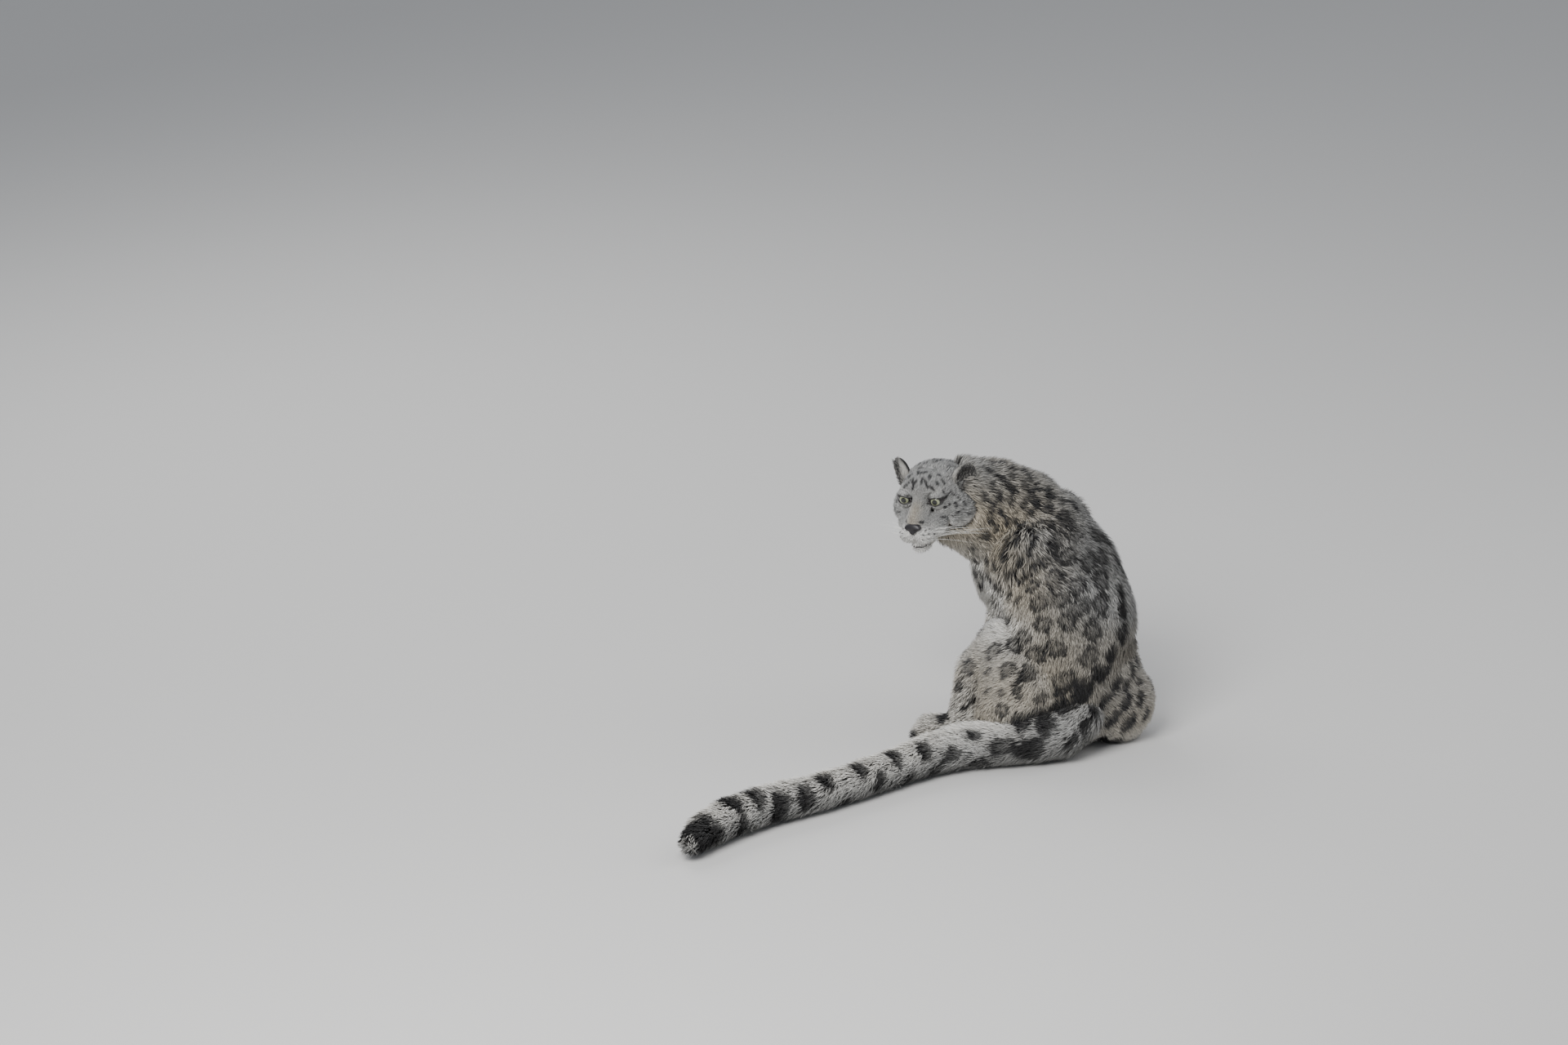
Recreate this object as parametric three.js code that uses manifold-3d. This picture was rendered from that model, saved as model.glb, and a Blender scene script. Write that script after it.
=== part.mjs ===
// A life-size snow leopard that sits with its tail laid out to its left and looks back over its left shoulder.
// Millimetres, +Z up. The hips face +Y and the animal's right is +X. The origin is on the floor under the hips.
import * as THREE from "three";
import { mergeVertices } from "three/addons/utils/BufferGeometryUtils.js";
import Module from "manifold-3d";

const wasm = await Module();
wasm.setup();

const at = (x, y, z) => new THREE.Vector3(x, y, z);
const rad = THREE.MathUtils.degToRad;

// Driving sizes
const GAP = 0.3;
const FINEST = 0.12;
const FUR_BLEND = 46;
const LIMB_BLEND = 26;
const FACE_BLEND = 14;
const BODY_CELL = 24;
const LEG_CELL = 16.5;
const HEAD_CELL = 10.2;

// The places that the joints of the body take in this pose
const JOINT = {
  hips: at(16, 18, 150),
  loin: at(56, 34, 250),
  ribs: at(50, 80, 325),
  shoulders: at(22, 130, 388),
  neckRoot: at(-6, 160, 426),
  neck: at(-52, 180, 438),
  nape: at(-110, 180, 466),
  throat: at(-34, 168, 365),
  breast: at(-14, 155, 320),
  shoulderLeft: at(-17, 72, 395),
  elbowLeft: at(-14, 150, 222),
  wristLeft: at(-18, 236, 80),
  pawLeft: at(-28, 270, 30),
  shoulderRight: at(112, 200, 390),
  elbowRight: at(92, 205, 222),
  wristRight: at(78, 280, 80),
  pawRight: at(72, 316, 30),
  haunchLeft: at(-88, -10, 82),
  hipLeft: at(-58, 6, 132),
  thighLeft: at(-60, 60, 182),
  kneeLeft: at(-116, 102, 146),
  hockLeft: at(-104, 28, 42),
  footLeft: at(-165, 92, 34),
  toesLeft: at(-207, 146, 27),
  haunchRight: at(122, -10, 78),
  hipRight: at(92, 6, 132),
  thighRight: at(108, 62, 182),
  kneeRight: at(152, 112, 146),
  hockRight: at(132, 30, 42),
  footRight: at(162, 110, 34),
  toesRight: at(186, 172, 27),
};

// Head: the point between the eyes, and how the head is turned. Its own frame has x to the animal's right,
// y to the nose and z up.
const HEAD = {
  place: at(-235, 136, 517),
  heading: 216,
  pitch: -10,
  roll: 5,
};
const EYE = { side: 35, front: -9, radius: 16.5, height: 0 };
const EAR = { side: 67, back: -70, up: 9, tall: 35, wide: 28, deep: 16, wall: 5 };

const headMatrix = new THREE.Matrix4().compose(
  HEAD.place,
  new THREE.Quaternion().setFromEuler(new THREE.Euler(rad(HEAD.pitch), rad(HEAD.roll), rad(HEAD.heading - 90), "ZXY")),
  at(1, 1, 1),
);
const headInverse = headMatrix.clone().invert();
const onHead = (x, y, z) => at(x, y, z).applyMatrix4(headMatrix);
const headwards = (x, y, z) => at(x, y, z).transformDirection(headMatrix);

// The tail's middle line on the floor, from the rump to the tip, with its half thickness in full coat
const TAIL = [
  { p: at(9, -70, 84), r: 66 },
  { p: at(-30, -84, 62), r: 61 },
  { p: at(-78, -80, 55), r: 57 },
  { p: at(-130, -66, 52), r: 55 },
  { p: at(-225, -42, 49), r: 51 },
  { p: at(-310, -46, 45), r: 47 },
  { p: at(-389, -66, 42), r: 44 },
  { p: at(-500, -99, 41), r: 43 },
  { p: at(-609, -127, 42), r: 44 },
  { p: at(-729, -145, 44), r: 46 },
  { p: at(-830, -176, 44), r: 46 },
  { p: at(-905, -214, 42), r: 43 },
  { p: at(-948, -246, 38), r: 34 },
];

// A rounded stretch between two places, thicker at one end, as a distance field
function limb(a, ra, b, rb) {
  const [ax, ay, az] = a.toArray();
  const ab = b.clone().sub(a);
  const span = Math.max(ab.lengthSq(), 1e-6);
  return (x, y, z) => {
    const px = x - ax;
    const py = y - ay;
    const pz = z - az;
    const t = Math.min(1, Math.max(0, (px * ab.x + py * ab.y + pz * ab.z) / span));
    return Math.hypot(px - t * ab.x, py - t * ab.y, pz - t * ab.z) - (ra + t * (rb - ra));
  };
}

// An ellipsoid in the head's frame, as a distance field
function egg(cx, cy, cz, rx, ry, rz) {
  return (x, y, z) => {
    const u = [(x - cx) / rx, (y - cy) / ry, (z - cz) / rz];
    const k0 = Math.hypot(...u);
    const k1 = Math.hypot(u[0] / rx, u[1] / ry, u[2] / rz);
    return k1 < 1e-9 ? -Math.min(rx, ry, rz) : (k0 * (k0 - 1)) / k1;
  };
}

const soft = (a, b, k) => Math.min(a, b) - (Math.max(k - Math.abs(a - b), 0) ** 2 * 0.25) / k;

function blend(k, ...fields) {
  return (x, y, z) => fields.reduce((d, f) => soft(d, f(x, y, z), k), 1e4);
}

// Chains of limbs through named joints
function chain(...stops) {
  return stops.slice(1).map(([joint, r], i) => limb(JOINT[stops[i][0]], stops[i][1], JOINT[joint], r));
}

const trunk = blend(
  FUR_BLEND,
  limb(at(-15, 0, 84), 94, at(45, 0, 84), 94),
  ...chain(["hips", 138], ["loin", 140], ["ribs", 137], ["shoulders", 128], ["neckRoot", 110]),
  ...chain(["neckRoot", 106], ["neck", 90], ["nape", 72]),
  ...chain(["throat", 76], ["breast", 84]),
);

const toes = (foot, end, spread) =>
  [-1.5, -0.5, 0.5, 1.5].map((n) => {
    const ahead = end.clone().sub(foot).setZ(0).normalize();
    const side = at(-ahead.y, ahead.x, 0).multiplyScalar(n * spread);
    const tip = end.clone().add(side).addScaledVector(ahead, 22 - 5 * Math.abs(n));
    return limb(end.clone().addScaledVector(side, 0.8), 18, tip.setZ(17), 17);
  });

function foreleg(side) {
  const paw = JOINT["paw" + side];
  return blend(
    12,
    blend(
      LIMB_BLEND,
      ...chain(["shoulder" + side, 76], ["elbow" + side, 58], ["wrist" + side, 37], ["paw" + side, 33]),
    ),
    ...toes(JOINT["wrist" + side], paw, 17),
  );
}

function hindLeg(side) {
  return blend(
    12,
    blend(
      LIMB_BLEND,
      ...chain(["haunch" + side, 92], ["hip" + side, 104], ["thigh" + side, 86], ["knee" + side, 56]),
      ...chain(["knee" + side, 50], ["foot" + side, 36]),
      ...chain(["hock" + side, 42], ["foot" + side, 36], ["toes" + side, 32]),
    ),
    ...toes(JOINT["foot" + side], JOINT["toes" + side], 18),
  );
}

// The head: skull, brows, cheeks, muzzle pads, bridge of the nose and chin
const pair = (make) => [make(-1), make(1)];
const skull = blend(
  FACE_BLEND,
  blend(30, egg(0, -70, 10, 68, 72, 57), egg(0, -26, 24, 47, 40, 34), egg(0, -108, -8, 64, 58, 56)),
  ...pair((s) => egg(29 * s, -11, 19, 19, 18, 14)),
  blend(26, ...pair((s) => egg(47 * s, -52, -34, 36, 50, 43)), ...pair((s) => egg(39 * s, -22, -22, 24, 26, 22))),
  limb(at(0, -18, 2), 20, at(0, 36, -34), 14),
  egg(0, 14, -42, 32, 38, 28),
  ...pair((s) => egg(16 * s, 33, -54, 19, 22, 17)),
  limb(at(0, -30, -62), 34, at(0, 18, -76), 19),
  egg(0, 24, -84, 18, 21, 13),
);
const sockets = pair((s) => egg(EYE.side * s, EYE.front + 24, -1, 20, 15, 12));
const headField = (x, y, z) => {
  const p = at(x, y, z).applyMatrix4(headInverse);
  const d = skull(p.x, p.y, p.z);
  return sockets.reduce((whole, hole) => -soft(-whole, hole(p.x, p.y, p.z), 8), d);
};

const TAIL_STUB = 2;
const tailRoot = blend(30, ...TAIL.slice(1, TAIL_STUB + 1).map((t, i) => limb(TAIL[i].p, TAIL[i].r, t.p, t.r)));
const legs = ["Left", "Right"].flatMap((side) => [foreleg(side), hindLeg(side)]);
const wholeBody = blend(22, trunk, ...legs);
const withHead = blend(30, wholeBody, headField);
const body = blend(24, withHead, tailRoot);

// A closed surface where a field is zero: one vertex in each cell that the surface crosses. A cell face
// whose corners lie in and out by turns would pinch the surface, so its slightest corner changes side.
function surface(field, low, high, cell) {
  const count = ["x", "y", "z"].map((k) => Math.ceil((high[k] - low[k]) / cell) + 1);
  const [nx, ny, nz] = count;
  const index = (i, j, k) => (k * ny + j) * nx + i;
  const value = new Float64Array(nx * ny * nz);
  const edge = (i, n) => i === 0 || i === n - 1;
  for (let k = 0; k < nz; k++)
    for (let j = 0; j < ny; j++)
      for (let i = 0; i < nx; i++) {
        const d = field(low.x + i * cell, low.y + j * cell, low.z + k * cell);
        value[index(i, j, k)] = edge(i, nx) || edge(j, ny) || edge(k, nz) ? Math.max(d, 0.5 * cell) : d;
      }
  const steps = [1, nx, nx * ny];
  for (let n = 0; n < value.length - steps[1] - steps[2]; n++)
    for (const [u, v] of [[0, 1], [1, 2], [0, 2]]) {
      const face = [n, n + steps[u], n + steps[u] + steps[v], n + steps[v]];
      const inside = face.map((m) => value[m] < 0);
      if (inside[0] !== inside[2] || inside[1] !== inside[3] || inside[0] === inside[1]) continue;
      const least = face.reduce((a, b) => (Math.abs(value[a]) < Math.abs(value[b]) ? a : b));
      value[least] = -value[least];
    }
  const vertexOf = new Map();
  const points = [];
  const corners = [0, 1, 2, 3, 4, 5, 6, 7].map((c) => [c & 1, (c >> 1) & 1, c >> 2]);
  const vertex = (i, j, k) => {
    const key = index(i, j, k);
    if (vertexOf.has(key)) return vertexOf.get(key);
    const sum = at(0, 0, 0);
    let crossings = 0;
    for (const a of corners)
      for (let axis = 0; axis < 3; axis++) {
        if (a[axis]) continue;
        const b = a.map((v, n) => (n === axis ? 1 : v));
        const da = value[index(i + a[0], j + a[1], k + a[2])];
        const db = value[index(i + b[0], j + b[1], k + b[2])];
        if (da < 0 === db < 0) continue;
        const t = da / (da - db);
        sum.add(at(a[0] + t * (b[0] - a[0]), a[1] + t * (b[1] - a[1]), a[2] + t * (b[2] - a[2])));
        crossings++;
      }
    const p = sum.divideScalar(crossings).multiplyScalar(cell).add(at(i, j, k).multiplyScalar(cell)).add(low);
    vertexOf.set(key, points.length / 3);
    points.push(p.x, p.y, p.z);
    return points.length / 3 - 1;
  };
  const faces = [];
  for (let k = 0; k < nz - 1; k++)
    for (let j = 0; j < ny - 1; j++)
      for (let i = 0; i < nx - 1; i++) {
        const here = value[index(i, j, k)] < 0;
        const turns = [
          [[1, 0, 0], (u, v) => vertex(i, j - u, k - v)],
          [[0, 1, 0], (u, v) => vertex(i - v, j, k - u)],
          [[0, 0, 1], (u, v) => vertex(i - u, j - v, k)],
        ];
        for (const [step, cellAt] of turns) {
          const there = value[index(i + step[0], j + step[1], k + step[2])] < 0;
          if (here === there) continue;
          const q = [cellAt(1, 1), cellAt(0, 1), cellAt(0, 0), cellAt(1, 0)];
          if (!here) q.reverse();
          faces.push(q[0], q[1], q[2], q[0], q[2], q[3]);
        }
      }
  const geometry = new THREE.BufferGeometry();
  geometry.setAttribute("position", new THREE.Float32BufferAttribute(points, 3));
  return geometry.setIndex(faces);
}

function solid(geometry) {
  const g = geometry.clone();
  g.deleteAttribute("normal");
  g.deleteAttribute("uv");
  const m = mergeVertices(g, 1e-3);
  const mesh = new wasm.Mesh({
    numProp: 3,
    vertProperties: new Float32Array(m.attributes.position.array),
    triVerts: new Uint32Array(m.index.array),
  });
  return new wasm.Manifold(mesh);
}

function geometryOf(manifold) {
  const m = manifold.getMesh();
  const g = new THREE.BufferGeometry();
  g.setAttribute("position", new THREE.BufferAttribute(new Float32Array(m.vertProperties), 3));
  return g.setIndex(new THREE.BufferAttribute(new Uint32Array(m.triVerts), 1));
}

const biggest = (manifold) => manifold.decompose().reduce((a, b) => (a.volume() >= b.volume() ? a : b));
const largest = (manifold) => biggest(solid(geometryOf(biggest(manifold).asOriginal().simplify(FINEST))));

// A box whose near face is centred on a place and which runs from there along a direction
function block(from, along, up, reach, wide, tall, grow = 0) {
  const y = along.clone().normalize();
  const x = y.clone().cross(up).normalize();
  const z = x.clone().cross(y);
  const g = new THREE.BoxGeometry(wide + 2 * grow, reach + 2 * grow, tall + 2 * grow);
  g.translate(0, reach / 2, 0);
  return solid(g.applyMatrix4(new THREE.Matrix4().makeBasis(x, y, z).setPosition(from)));
}

const UP = at(0, 0, 1);

// Locks of the long coat: how high they stand over the core, their size, and where they grow
const LOCK = { high: 9, long: 88, wide: 34, thick: 11, rows: 7, round: 9, fromHead: 165, lowest: 120, reach: 170 };
const LOCK_STATIONS = [
  [0.3, 0.8, -0.75],
  [0.35, 1, 0.25],
  [0.35, 0.7, 0.7],
  [0, 0.08, 0.95],
];
const floorBox = () => block(at(0, 0, 0), UP, at(0, 1, 0), 1200, 3000, 3000);

// Where each piece is cut from the body: the middle of the cut, the way that the piece lies, and the box's size
const between = (a, b, t) => JOINT[a].clone().lerp(JOINT[b], t);
const CUT = {
  head: [onHead(0, -94, -6), headwards(0, 1, -0.08), headwards(0, 0, 1), 240, 204, 236],
  neck: [at(-58, 170, 450), at(-0.85, 0.03, 0.53), UP, 260, 420, 420],
  forepaw_left: [between("wristLeft", "pawLeft", 0.1), at(-0.1, 0.75, -0.75), UP, 160, 130, 150],
  forepaw_right: [between("wristRight", "pawRight", 0.1), at(-0.1, 0.75, -0.75), UP, 160, 130, 150],
  foreleg_left: [between("elbowLeft", "wristLeft", 0.12).setX(-42), at(0, 0.35, -1), at(0, 1, 0), 240, 156, 200],
  foreleg_right: [between("elbowRight", "wristRight", 0.12).setX(114), at(0, 0.35, -1), at(0, 1, 0), 240, 156, 200],
  hind_foot_left: [between("footLeft", "toesLeft", 0.05), at(-0.62, 0.78, -0.15), UP, 190, 150, 110],
  hind_foot_right: [between("footRight", "toesRight", 0.05), at(0.36, 0.93, -0.15), UP, 190, 150, 110],
  hind_leg_left: [at(-84, 30, 60), at(-1, 0, -0.22), UP, 240, 420, 320],
  hind_leg_right: [at(118, 30, 60), at(1, 0, -0.22), UP, 240, 420, 320],
};
const cutter = (name, grow = 0) => block(...CUT[name], grow);

const REGION = {
  head: [at(-355, -30, 355), at(-60, 300, 630), HEAD_CELL],
  legs: [at(-290, -140, -40), at(290, 390, 330), LEG_CELL],
  trunk: [at(-350, -220, -40), at(290, 400, 640), BODY_CELL],
};
const core = (x, y, z) => body(x, y, z) + LOCK.high;

// Slope of a field, and the place nearest to a start where the field has a given value
function slopeOf(field, p, h = 0.5) {
  return at(
    field(p.x + h, p.y, p.z) - field(p.x - h, p.y, p.z),
    field(p.x, p.y + h, p.z) - field(p.x, p.y - h, p.z),
    field(p.x, p.y, p.z + h) - field(p.x, p.y, p.z - h),
  ).divideScalar(2 * h);
}

function toLevel(field, place, level) {
  const p = place.clone();
  for (let i = 0; i < 8; i++) {
    const slope = slopeOf(field, p);
    p.addScaledVector(slope, (level - field(p.x, p.y, p.z)) / Math.max(slope.lengthSq(), 0.1));
  }
  return p;
}

// One flat, tapered lock of the coat: it rises out of the core, bends with the body and lies along its way
function lock(field, root, wayAt, long, wide, thick) {
  const rings = [];
  const p = root.clone();
  for (const [t, share, level] of LOCK_STATIONS) {
    const place = toLevel(field, p, level * LOCK.high);
    const out = slopeOf(field, place).normalize();
    const way = wayAt(place).projectOnPlane(out).normalize();
    const side = way.clone().cross(out);
    const [w, h] = [(wide / 2) * share, (thick / 2) * share];
    rings.push([side, out, side.clone().negate(), out.clone().negate()].map((v, i) =>
      place.clone().addScaledVector(v, i % 2 ? h : w),
    ));
    p.copy(place).addScaledVector(way, long * t);
  }
  return solid(loft(rings));
}

// The way that the coat lies on the trunk, from the head back to the hips
const SPINE = ["nape", "neck", "neckRoot", "shoulders", "ribs", "loin", "hips"];
function trunkWay(p) {
  const way = at(0, 0, -0.35);
  SPINE.slice(1).forEach((name, i) => {
    const [a, b] = [JOINT[SPINE[i]], JOINT[name]];
    const near = new THREE.Line3(a, b).closestPointToPoint(p, true, at(0, 0, 0)).distanceTo(p);
    way.addScaledVector(b.clone().sub(a).normalize(), (100 / near) ** 4);
  });
  return way;
}

// Seeded chance, so that the coat is the same each time
let seed = 7;
const chance = () => {
  seed = (seed * 16807) % 2147483647;
  return seed / 2147483647;
};

function trunkLocks() {
  const locks = [];
  for (let row = 0; row < LOCK.rows; row++) {
    const t = ((row + 0.6) / LOCK.rows) * (SPINE.length - 1);
    const i = Math.min(SPINE.length - 2, Math.floor(t));
    const centre = JOINT[SPINE[i]].clone().lerp(JOINT[SPINE[i + 1]], t - i);
    const way = JOINT[SPINE[i + 1]].clone().sub(JOINT[SPINE[i]]).normalize();
    const across = way.clone().cross(UP).normalize();
    const over = across.clone().cross(way);
    for (let n = 0; n < LOCK.round; n++) {
      const turn = ((n + (row % 2) / 2 + 0.3 * chance()) / LOCK.round) * 2 * Math.PI;
      const out = across.clone().multiplyScalar(Math.cos(turn)).addScaledVector(over, Math.sin(turn));
      const p = centre.clone();
      for (let k = 0; k < 60 && core(p.x, p.y, p.z) < 0; k++) p.addScaledVector(out, 4);
      const clearOfEars = p.distanceTo(HEAD.place) > LOCK.fromHead;
      if (!clearOfEars || p.z < LOCK.lowest || p.distanceTo(centre) > LOCK.reach) continue;
      locks.push(lock(core, p, trunkWay, LOCK.long * (0.85 + 0.3 * chance()), LOCK.wide, LOCK.thick));
    }
  }
  return locks;
}

const nodes = {};
const meshOf = (field, region) => solid(surface(field, ...REGION[region])).intersect(floorBox());
const trunkMesh = wasm.Manifold.union([meshOf(core, "trunk"), ...trunkLocks()]).intersect(floorBox());
const legMesh = meshOf(body, "legs");
const headMesh = meshOf(body, "head");
const source = (name) => (name === "head" ? headMesh : /leg|foot|paw/.test(name) ? legMesh : trunkMesh);

let taken = [];
for (const name of Object.keys(CUT)) {
  let piece = source(name).intersect(cutter(name));
  for (const other of taken) piece = piece.subtract(cutter(other, GAP));
  nodes[name] = largest(piece);
  taken.push(name);
}
nodes.torso = largest(taken.reduce((rest, name) => rest.subtract(cutter(name, GAP)), trunkMesh));

// A closed tube through rings of points
function loft(rings) {
  const n = rings[0].length;
  const points = rings.flat();
  const faces = [];
  for (let r = 0; r + 1 < rings.length; r++)
    for (let i = 0; i < n; i++) {
      const [a, b] = [r * n + i, r * n + ((i + 1) % n)];
      faces.push(a, b + n, b, a, a + n, b + n);
    }
  const centre = (ring) => ring.reduce((s, p) => s.add(p), at(0, 0, 0)).divideScalar(n);
  points.push(centre(rings[0]), centre(rings.at(-1)));
  const [first, last, end] = [points.length - 2, points.length - 1, (rings.length - 1) * n];
  for (let i = 0; i < n; i++) {
    const j = (i + 1) % n;
    faces.push(first, i, j, last, end + j, end + i);
  }
  const g = new THREE.BufferGeometry().setFromPoints(points);
  return g.setIndex(faces);
}

function ring(centre, along, radiusX, radiusZ, sides, up = UP) {
  const y = along.clone().normalize();
  const x = y.clone().cross(up).normalize();
  const z = x.clone().cross(y);
  return Array.from({ length: sides }, (_, i) => {
    const a = (2 * Math.PI * i) / sides;
    return centre.clone().addScaledVector(x, radiusX * Math.cos(a)).addScaledVector(z, radiusZ * Math.sin(a));
  });
}

// The tail in lengths, each a tube that meets the one before it
const tailLine = new THREE.CatmullRomCurve3(TAIL.map((t) => t.p));
const tailRadius = (u) => {
  const s = u * (TAIL.length - 1);
  const i = Math.min(TAIL.length - 2, Math.floor(s));
  return THREE.MathUtils.lerp(TAIL[i].r, TAIL[i + 1].r, s - i);
};
const TAIL_SIDES = 14;
const TAIL_CUTS = [TAIL_STUB / (TAIL.length - 1), 0.4, 0.6, 0.8, 1];
const TAIL_STEPS = 7;
const TAIL_LENGTH = tailLine.getLength();
const TIP_CAP = [
  [12, 0.88],
  [21, 0.66],
  [27, 0.3],
];

function tailLength(from, to, last, inset, grow = 0) {
  const start = from + (GAP / 2 - grow) / TAIL_LENGTH;
  const end = last ? to : to - (GAP / 2 - grow) / TAIL_LENGTH;
  const rings = Array.from({ length: TAIL_STEPS + 1 }, (_, i) => {
    const u = start + ((end - start) * i) / TAIL_STEPS;
    const r = tailRadius(u) - inset + grow;
    return ring(tailLine.getPoint(u), tailLine.getTangent(u), r, r, TAIL_SIDES);
  });
  if (last) {
    const tip = tailLine.getPoint(1);
    const tangent = tailLine.getTangent(1);
    for (const [ahead, share] of TIP_CAP) {
      const r = (tailRadius(1) - inset) * share;
      rings.push(ring(tip.clone().addScaledVector(tangent, ahead), tangent, r, r, TAIL_SIDES));
    }
  }
  return solid(loft(rings));
}

// Locks round the upper side of the tail, each inside its own length of it
const TAIL_LOCK = { high: 10, long: 66, wide: 26, thick: 9, rows: 3, round: 5 };
function tailLocks(from, to) {
  const locks = [];
  const room = to - from - (TAIL_LOCK.long * 1.1) / TAIL_LENGTH;
  for (let row = 0; row < TAIL_LOCK.rows; row++)
    for (let n = 0; n < TAIL_LOCK.round; n++) {
      const turn = ((n + (row % 2) / 2 + 0.25) / TAIL_LOCK.round) * Math.PI;
      const u = from + 0.012 + room * ((row + 0.3 * chance()) / TAIL_LOCK.rows);
      const rings = LOCK_STATIONS.map(([, share, level], i) => {
        const v = u + ([0, 0.3, 0.65, 1][i] * TAIL_LOCK.long) / TAIL_LENGTH;
        const along = tailLine.getTangent(v);
        const across = along.clone().cross(UP).normalize();
        const over = across.clone().cross(along);
        const out = across.clone().multiplyScalar(Math.cos(turn)).addScaledVector(over, Math.sin(turn));
        const side = along.clone().cross(out);
        const r = tailRadius(v) - TAIL_LOCK.high * (1 - level);
        const place = tailLine.getPoint(v).addScaledVector(out, r);
        const [w, h] = [(TAIL_LOCK.wide / 2) * share, (TAIL_LOCK.thick / 2) * share];
        return [side, out, side.clone().negate(), out.clone().negate()].map((d, j) =>
          place.clone().addScaledVector(d, j % 2 ? h : w),
        );
      });
      locks.push(solid(loft(rings)));
    }
  return locks;
}
for (let i = 0; i + 1 < TAIL_CUTS.length; i++) {
  const [from, to] = TAIL_CUTS.slice(i, i + 2);
  const tube = tailLength(from, to, i === TAIL_CUTS.length - 2, TAIL_LOCK.high);
  nodes["tail_" + (i + 1)] = largest(wasm.Manifold.union([tube, ...tailLocks(from, to)]).intersect(floorBox()));
}
const TAIL_FIRST = tailLength(TAIL_CUTS[0], TAIL_CUTS[2], false, -3, GAP);
for (const name of ["torso", "hind_leg_left", "hind_foot_left"]) nodes[name] = largest(nodes[name].subtract(TAIL_FIRST));

// Eyes, and the hollows that they sit in
for (const [name, s] of [
  ["eye_left", -1],
  ["eye_right", 1],
]) {
  const place = onHead(EYE.side * s, EYE.front, EYE.height);
  const ball = (r) => solid(new THREE.SphereGeometry(r, 16, 12).translate(place.x, place.y, place.z));
  nodes[name] = ball(EYE.radius);
  nodes.head = nodes.head.subtract(ball(EYE.radius + GAP));
}

// Put a point given on the head's front onto its skin
function onSkin(x, y, z, depth = 0) {
  const p = onHead(x, y, z);
  const ahead = headwards(0, 1, 0);
  for (let i = 0; i < 60; i++) {
    const d = headField(p.x, p.y, p.z) + depth;
    if (Math.abs(d) < 0.05) break;
    p.addScaledVector(ahead, -0.7 * d);
  }
  return p;
}

function rod(points, radii, sides = 6) {
  const line = new THREE.CatmullRomCurve3(points);
  const steps = points.length - 1;
  const rings = Array.from({ length: steps + 1 }, (_, i) => {
    const r = THREE.MathUtils.lerp(radii[0], radii[1], Math.abs((2 * i) / steps - 1));
    return ring(line.getPoint(i / steps), line.getTangent(i / steps), r, r, sides, headwards(0, 1, 0.01));
  });
  return solid(loft(rings));
}

// Lids: an upper and a lower roll round each eye
const LID = { reach: 20, upper: 10, lower: 9.5, thick: 3.4 };
for (const s of [-1, 1])
  for (const [way, tall] of [
    [1, LID.upper],
    [-1, -LID.lower],
  ]) {
    const stops = [-1, -0.75, -0.5, -0.25, 0, 0.25, 0.5, 0.75, 1].map((t) => {
      const x = EYE.side * s + LID.reach * t;
      const slant = 3 * t * s;
      const bulge = EYE.radius * Math.sqrt(Math.max(0, 1 - (0.93 * t) ** 2 * 0.9 - (tall / EYE.radius) ** 2 * (1 - t * t)));
      return onHead(x, EYE.front + bulge - 1.2, EYE.height + slant + tall * (1 - t * t) * 1.02 * Math.abs(way));
    });
    nodes.head = nodes.head.add(rod(stops, [LID.thick, 2.4]));
  }
for (const s of [-1, 1]) {
  const place = onHead(EYE.side * s, EYE.front, EYE.height);
  const ball = new THREE.SphereGeometry(EYE.radius + GAP, 16, 12).translate(place.x, place.y, place.z);
  nodes.head = nodes.head.subtract(solid(ball));
}

// Carry a place to the body's skin, or to a depth under it
function toSkin(place, depth = 0) {
  const p = place.clone();
  for (let i = 0; i < 12; i++) {
    const d = headField(p.x, p.y, p.z) + depth;
    const slope = at(
      headField(p.x + 0.5, p.y, p.z) - headField(p.x - 0.5, p.y, p.z),
      headField(p.x, p.y + 0.5, p.z) - headField(p.x, p.y - 0.5, p.z),
      headField(p.x, p.y, p.z + 0.5) - headField(p.x, p.y, p.z - 0.5),
    );
    p.addScaledVector(slope, -d / Math.max(slope.lengthSq(), 0.1));
  }
  return p;
}

// The line of the mouth, and the groove from the nose to it
const MOUTH = [
  [-42, -18, -66],
  [-37, 4, -75],
  [-25, 30, -78],
  [-11, 50, -77],
  [0, 55, -70],
  [11, 50, -77],
  [25, 30, -78],
  [37, 4, -75],
  [42, -18, -66],
];
const mouthCurve = new THREE.CatmullRomCurve3(MOUTH.map((m) => onHead(...m)));
const mouthLine = mouthCurve.getPoints(22).map((p) => toSkin(p));
nodes.head = nodes.head.subtract(rod(mouthLine, [2.8, 2.2], 5));
nodes.head = nodes.head.subtract(rod([-50, -56, -62, -68].map((z) => toSkin(onHead(0, 90, z))), [1.4, 1.8], 5));

// The nose leather with its nostrils
const NOSE = { wide: 17, deep: 9, tall: 10.5, z: -37 };
const noseAt = onSkin(0, 110, NOSE.z, 3);
const noseLeather = () => {
  const g = new THREE.SphereGeometry(1, 14, 10);
  const pos = g.attributes.position;
  for (let i = 0; i < pos.count; i++) {
    const narrow = 0.68 + 0.32 * Math.min(1, pos.getZ(i) + 0.9);
    pos.setXYZ(i, pos.getX(i) * NOSE.wide * narrow, pos.getY(i) * NOSE.deep, pos.getZ(i) * NOSE.tall);
  }
  return g.applyMatrix4(new THREE.Matrix4().extractRotation(headMatrix).setPosition(noseAt));
};
const nostril = (s) => {
  const g = new THREE.SphereGeometry(1, 10, 8).scale(3.4, 6, 3);
  g.rotateY(rad(-28 * s));
  g.translate(9.2 * s, NOSE.deep + 1, -2.5);
  return solid(g.applyMatrix4(new THREE.Matrix4().extractRotation(headMatrix).setPosition(noseAt)));
};
const grownNose = solid(noseLeather().translate(-noseAt.x, -noseAt.y, -noseAt.z).scale(1.03, 1.03, 1.03).translate(noseAt.x, noseAt.y, noseAt.z));
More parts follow.
